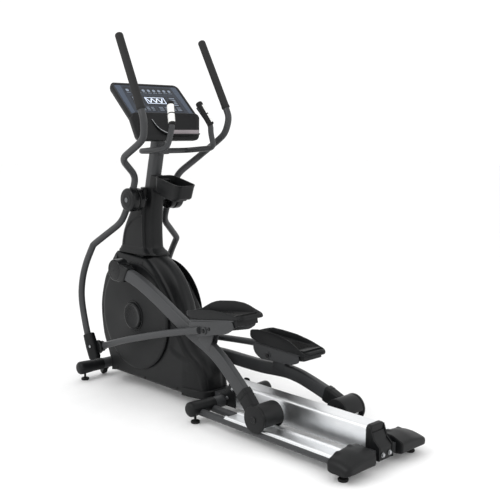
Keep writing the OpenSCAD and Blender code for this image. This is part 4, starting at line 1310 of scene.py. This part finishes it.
def upper_parts():
    """Mast, console, bottle holder and fixed handlebar."""
    piece("mast_tube", mast_tube(), PAINT, "frame", ["mast"])
    piece("fixed_bar", fixed_bar(), PAINT, "frame", ["fixed_handlebar"])
    piece("bar_clamp", bar_clamp(), PAINT, "frame")
    both("fixed_grip", fixed_grip(), RUBBER, "frame", ["fixed_grips"])
    both("pulse_plate_low", pulse_plate(0.06, 0.42), NYLON, "frame", ["pulse_plates"])
    both("pulse_plate_high", pulse_plate(0.47, 0.84), NYLON, "frame")
    face, lip = on_face(FACE_TILT), on_face(LIP_TILT)
    piece("console_shell", console_shell(), ABS, "frame", ["console_back"], face)
    piece("console_frame", console_frame(), GLOSS_ABS, "frame", ["console_front"], face)
    piece("console_lip", console_lip(), ABS, "frame", (), lip)
    # The bright bead on the ledge edge is a painted highlight, not a real trim
    piece("painted_ledge_highlight", painted_ledge_highlight(), ZINC, "frame", (), lip)
    piece("label_strip", label_strip(), VINYL, "frame", (), lip)
    piece("overlay_sheet", overlay_sheet(), FILM, "frame", ["display_panel"], face)
    piece("side_bands", side_bands(), PALE_BAND, "frame", (), face)
    piece("dark_panels", dark_panels(), DARK_INK, "frame", (), face)
    piece("display_window", display_window(), LCD, "frame", (), face)
    piece("lit_marks", lit_marks(), LIT, "frame", (), face)
    piece("pale_marks", pale_marks(), PALE_INK, "frame", (), face)
    piece("holder_cup", holder_cup(), ABS, "frame", ["bottle_holder"], holder_frame())
    piece("holder_saddle", holder_saddle(), ABS, "frame", (), holder_frame())


# ---- Base ----

FOOT_X = 231
CAP_X = 262
WHEEL_X = 80
CROSS_Z = 70 * MM
HUB_BEHIND = 298
DRIVE_BASE = 913
RAIL_BASE = 897
FRONT_Y = PLACES["crank_turn"].y + HUB_BEHIND * MM
MID_Y = FRONT_Y - DRIVE_BASE * MM
REAR_Y = MID_Y - RAIL_BASE * MM
CROSS_R = 29 * MM


def tube_cap():
    """Moulded cap over the outer part of a round cross tube, swelling to a rounded end."""
    profile = [
        (FOOT_X - 124, 30), (FOOT_X - 122, 31.5), (FOOT_X - 62, 32), (FOOT_X - 8, 35),
        (FOOT_X + 12, 35.5), (FOOT_X + 20, 34), (CAP_X - 5, 29), (CAP_X - 1, 21), (CAP_X, 10),
        (CAP_X, 0.5),
    ]
    return turned_mm(profile, sides=72)


def cap_bump(x, y):
    """Two humps of the rear cap's front edge, over the ridges of the track."""
    humps = sum(7 * math.exp(-(((x - at) / 13) ** 2)) for at in RIDGES)
    return humps * ramp(y, 24, 54)


def rear_cap():
    """Rear cap: a long rounded shoe, low outside, with a humped front edge over the track."""
    y = REAR_Y / MM
    inner, outer, bottom = 84, CAP_X, 36
    tall, fall = 70, 22
    flat_y, flat_z = 0.36, 0.42
    angles = np.linspace(0, 2 * math.pi, 96, endpoint=False)
    rings = []
    for t in 1 - np.cos(np.linspace(0, math.pi, 44)):
        x = inner + (outer - inner) * t / 2
        end = max(0.0, (x - outer + 34) / 34, (inner + 7 - x) / 7)
        swell = math.sqrt(max(0.0, 1 - end**2.6))
        top = bottom + (tall - fall * ramp(x, 150, 270)) * (0.35 + 0.65 * swell)
        half = 60 * (0.6 + 0.4 * swell)
        ring = []
        for a in angles:
            c, d = math.cos(a), math.sin(a)
            q = half * math.copysign(abs(c) ** flat_y, c)
            h = (top - bottom) / 2 * (1 + math.copysign(abs(d) ** flat_z, d))
            slope = 0.78 + 0.22 * ramp(q, -62, 10)
            ring.append((x, y + q, bottom + h * slope + (cap_bump(x, q) if d > 0 else 0)))
        rings.append(ring)
    return loft([np.array(r) * MM for r in rings])


def foot_pad():
    """Levelling foot: a rubber pad, a lock nut and a threaded stem."""
    profile = [
        (0.2, 15), (0.2, 20), (3, 21.5), (9, 21.5), (12, 19), (13, 12), (13, 8.5), (16, 8.5),
        (16, 5.8), (46, 5.8),
    ]
    return stood(turned_mm(profile, sides=48))


def levelling_feet():
    """The three feet on one side."""
    spots = [(219 * MM, y) for y in (REAR_Y, MID_Y, FRONT_Y + CROSS_R)]
    return joined(*[moved(foot_pad(), x, y, 0) for x, y in spots])


def beam_end():
    """Cast shoe at the beam's rear end: cap, sloping web and a bolted plate."""
    y = REAR_Y / MM
    rings = []
    for cut, depth in [(0, 27), (0, 12), (1, 9), (4, 7), (10, 6)]:
        shape = rounded_rect(98 - 2 * cut, 130 - 2 * cut, 20 - cut * 0.5, 8)
        rings.append([(x * MM, (y + depth) * MM, (112 + z) * MM) for x, z in shape])
    web = [(8, 168), (-10, 120), (-39, 94), (-40, 40), (-24, 40), (-24, 84), (26, 84), (26, 168)]
    outline = np.array([(y + a, b) for a, b in web[::-1]]) * MM
    plates = [slab(outline, x * MM, (x + 7) * MM, 1.5 * MM) for x in (-46, 39)]
    slope = [(26, 84), (26, 150), (2, 146), (-14, 112), (-38, 92), (-39, 40), (-26, 40), (-25, 84)]
    middle_web = slab(np.array([(y + a, b) for a, b in slope]) * MM, -44 * MM, 44 * MM, 2 * MM)
    return joined(loft(rings), *plates, middle_web)


def rear_bolts():
    """The two button-head bolts in the beam's rear shoe."""
    profile = [(0, 10), (2, 10), (2.4, 8), (7, 7.6), (8, 6), (8, 1)]
    verts, faces = turned_mm(profile, sides=32)
    heads = []
    for x in (-22, 22):
        heads.append(([(b + x * MM, REAR_Y - 40 * MM - a, c + 62 * MM) for a, b, c in verts], faces))
    return joined(*heads)


def beam_shoe():
    """Two plates of the bracket where the beam's front end meets the middle cross tube."""
    y = MID_Y / MM
    outline = [(-90, 50), (-90, 178), (-58, 178), (-20, 118), (20, 104), (20, 50)]
    side = bend([*outline, outline[0]], 10, 5) * (1, 1)
    closed = np.array([(y + a, b) for a, b in side[::-1]])[:-1] * MM
    plates = [slab(closed, x * MM, (x + 6) * MM, 1.5 * MM) for x in (-49, 43)]
    return joined(*plates)


def shoe_bolts():
    """Hexagon heads on both plates of the beam's front bracket."""
    heads = []
    for x in (-52, 46):
        heads.append(hexagon(x * MM, (x + 6) * MM, (MID_Y - 34 * MM, 90 * MM), 17))
        heads.append(hexagon(x * MM, (x + 6) * MM, (MID_Y - 72 * MM, 140 * MM), 17))
    return joined(*heads)


def cross_tube(y):
    """Round cross tube between the two feet."""
    path = [(x * MM, y, CROSS_Z) for x in np.linspace(-FOOT_X, FOOT_X, 9)]
    return tube(path, CROSS_R, 48)


def wheel():
    """Small transport wheel with a recessed hub."""
    profile = [
        (-12, 8), (-11, 15), (-12, 17), (-11.5, 20), (-9, 22), (9, 22), (11.5, 20), (12, 17),
        (11, 15), (12, 8),
    ]
    return turned_mm([(WHEEL_X + x, r) for x, r in profile], sides=56)


def wheel_place(side_name):
    """Frame of a transport wheel, at its axle."""
    return turn_about_x(PLACES["transport_wheel_" + side_name].yz, 0)


def base():
    """Feet, tube caps, the middle cross tube, rear caps, the beam's shoes and bolts, and transport
    wheels.
    """
    for name, y in (("front_tube_cap", FRONT_Y + CROSS_R), ("middle_tube_cap", MID_Y)):
        stands = ["end_caps"] if name.startswith("front") else []
        both(name, tube_cap(), ABS, "frame", stands, Matrix.Translation((0, y, CROSS_Z)))
    both("rear_cap", rear_cap(), ABS, "frame", ["rear_end_caps"], sharp=30)
    both("levelling_foot", levelling_feet(), RUBBER, "frame", ["levelling_feet"])
    piece("beam_end_shoe", beam_end(), ABS, "frame", ["beam_bracket"])
    piece("rear_bolts", rear_bolts(), ZINC, "frame", ["frame_bolts"])
    piece("beam_shoe", beam_shoe(), ABS, "frame")
    piece("beam_shoe_bolts", shoe_bolts(), ZINC, "frame")
    piece("middle_cross_tube", cross_tube(MID_Y), PAINT, "frame")
    both("wheel_tyre", wheel(), RUBBER, "wheel_", ["transport_wheel_"],
         {s: wheel_place(s) for s in SIDES})


def kept_parts():
    """CAD nodes that are shown in their own shape, with a finished material."""
    repaint(PAINT, "main_frame", "front_stabilizer", "rear_stabilizer", "base_rails")
    repaint(ALUMINIUM, "tracks", "centre_beam")
    repaint(STEEL, "swing_axle", "crank_axle", "crank_arms", "crank_bearings", "flywheel")
    repaint(STEEL, "brake_bracket")
    repaint(ABS, "drive_pulley", "power_inlet")
    repaint(RUBBER, "drive_belt")
    repaint(ZINC, "roller_axle_left", "roller_axle_right")


swing_arms()
main_arms()
pedals()
covers()
upper_parts()
base()
kept_parts()

# ---- Studio ----


def studio_floor():
    """Pale level floor that runs far behind the trainer."""
    made = bpy.data.meshes.new("studio_floor")
    s = 30.0
    made.from_pydata([(-s, -s, 0), (s, -s, 0), (s, s, 0), (-s, s, 0)], [], [(0, 1, 2, 3)])
    made.materials.append(studio_paper())
    floor = bpy.data.objects.new("studio_floor", made)
    bpy.context.scene.collection.objects.link(floor)
    return floor


def studio_paper():
    """Seamless studio paper: even white, matt, with a faint fibre mottle."""
    return grained("studio_paper", "f4f4f4", "f8f8f8", 12, (0.85, 0.95), 0.0)


def lamp(name, place, aim, size, watts):
    """Soft rectangular lamp at a place, turned to a point."""
    data = bpy.data.lights.new(name, "AREA")
    data.shape = "RECTANGLE"
    data.size, data.size_y = size
    data.energy = watts
    made = bpy.data.objects.new(name, data)
    made.location = place
    made.rotation_euler = (Vector(aim) - Vector(place)).to_track_quat("-Z", "Y").to_euler()
    bpy.context.scene.collection.objects.link(made)


def sky(strength):
    """Even white light from all round."""
    world = bpy.data.worlds.new("studio_light")
    world.use_nodes = True
    background = world.node_tree.nodes["Background"]
    background.inputs["Color"].default_value = colour("ffffff")
    background.inputs["Strength"].default_value = strength
    bpy.context.scene.world = world


def camera():
    """The view: from behind on the user's left, a little above the console's foot."""
    data = bpy.data.cameras.new("camera")
    data.lens = 59.4
    made = bpy.data.objects.new("camera", data)
    made.location = (-2.590, -2.8767, 1.346)
    made.rotation_euler = [math.radians(a) for a in (81.866, 0, -43.606)]
    bpy.context.scene.collection.objects.link(made)
    bpy.context.scene.camera = made


studio_floor()
bpy.context.scene.view_settings.view_transform = "Standard"
sky(1.09)
lamp("key_light", (-3.2, 0.6, 3.6), (0, 0, 0.8), (2.4, 2.4), 60)
lamp("fill_light", (1.5, -4.0, 2.6), (0, 0, 0.7), (3.0, 2.0), 25)
camera()

bpy.context.view_layer.update()
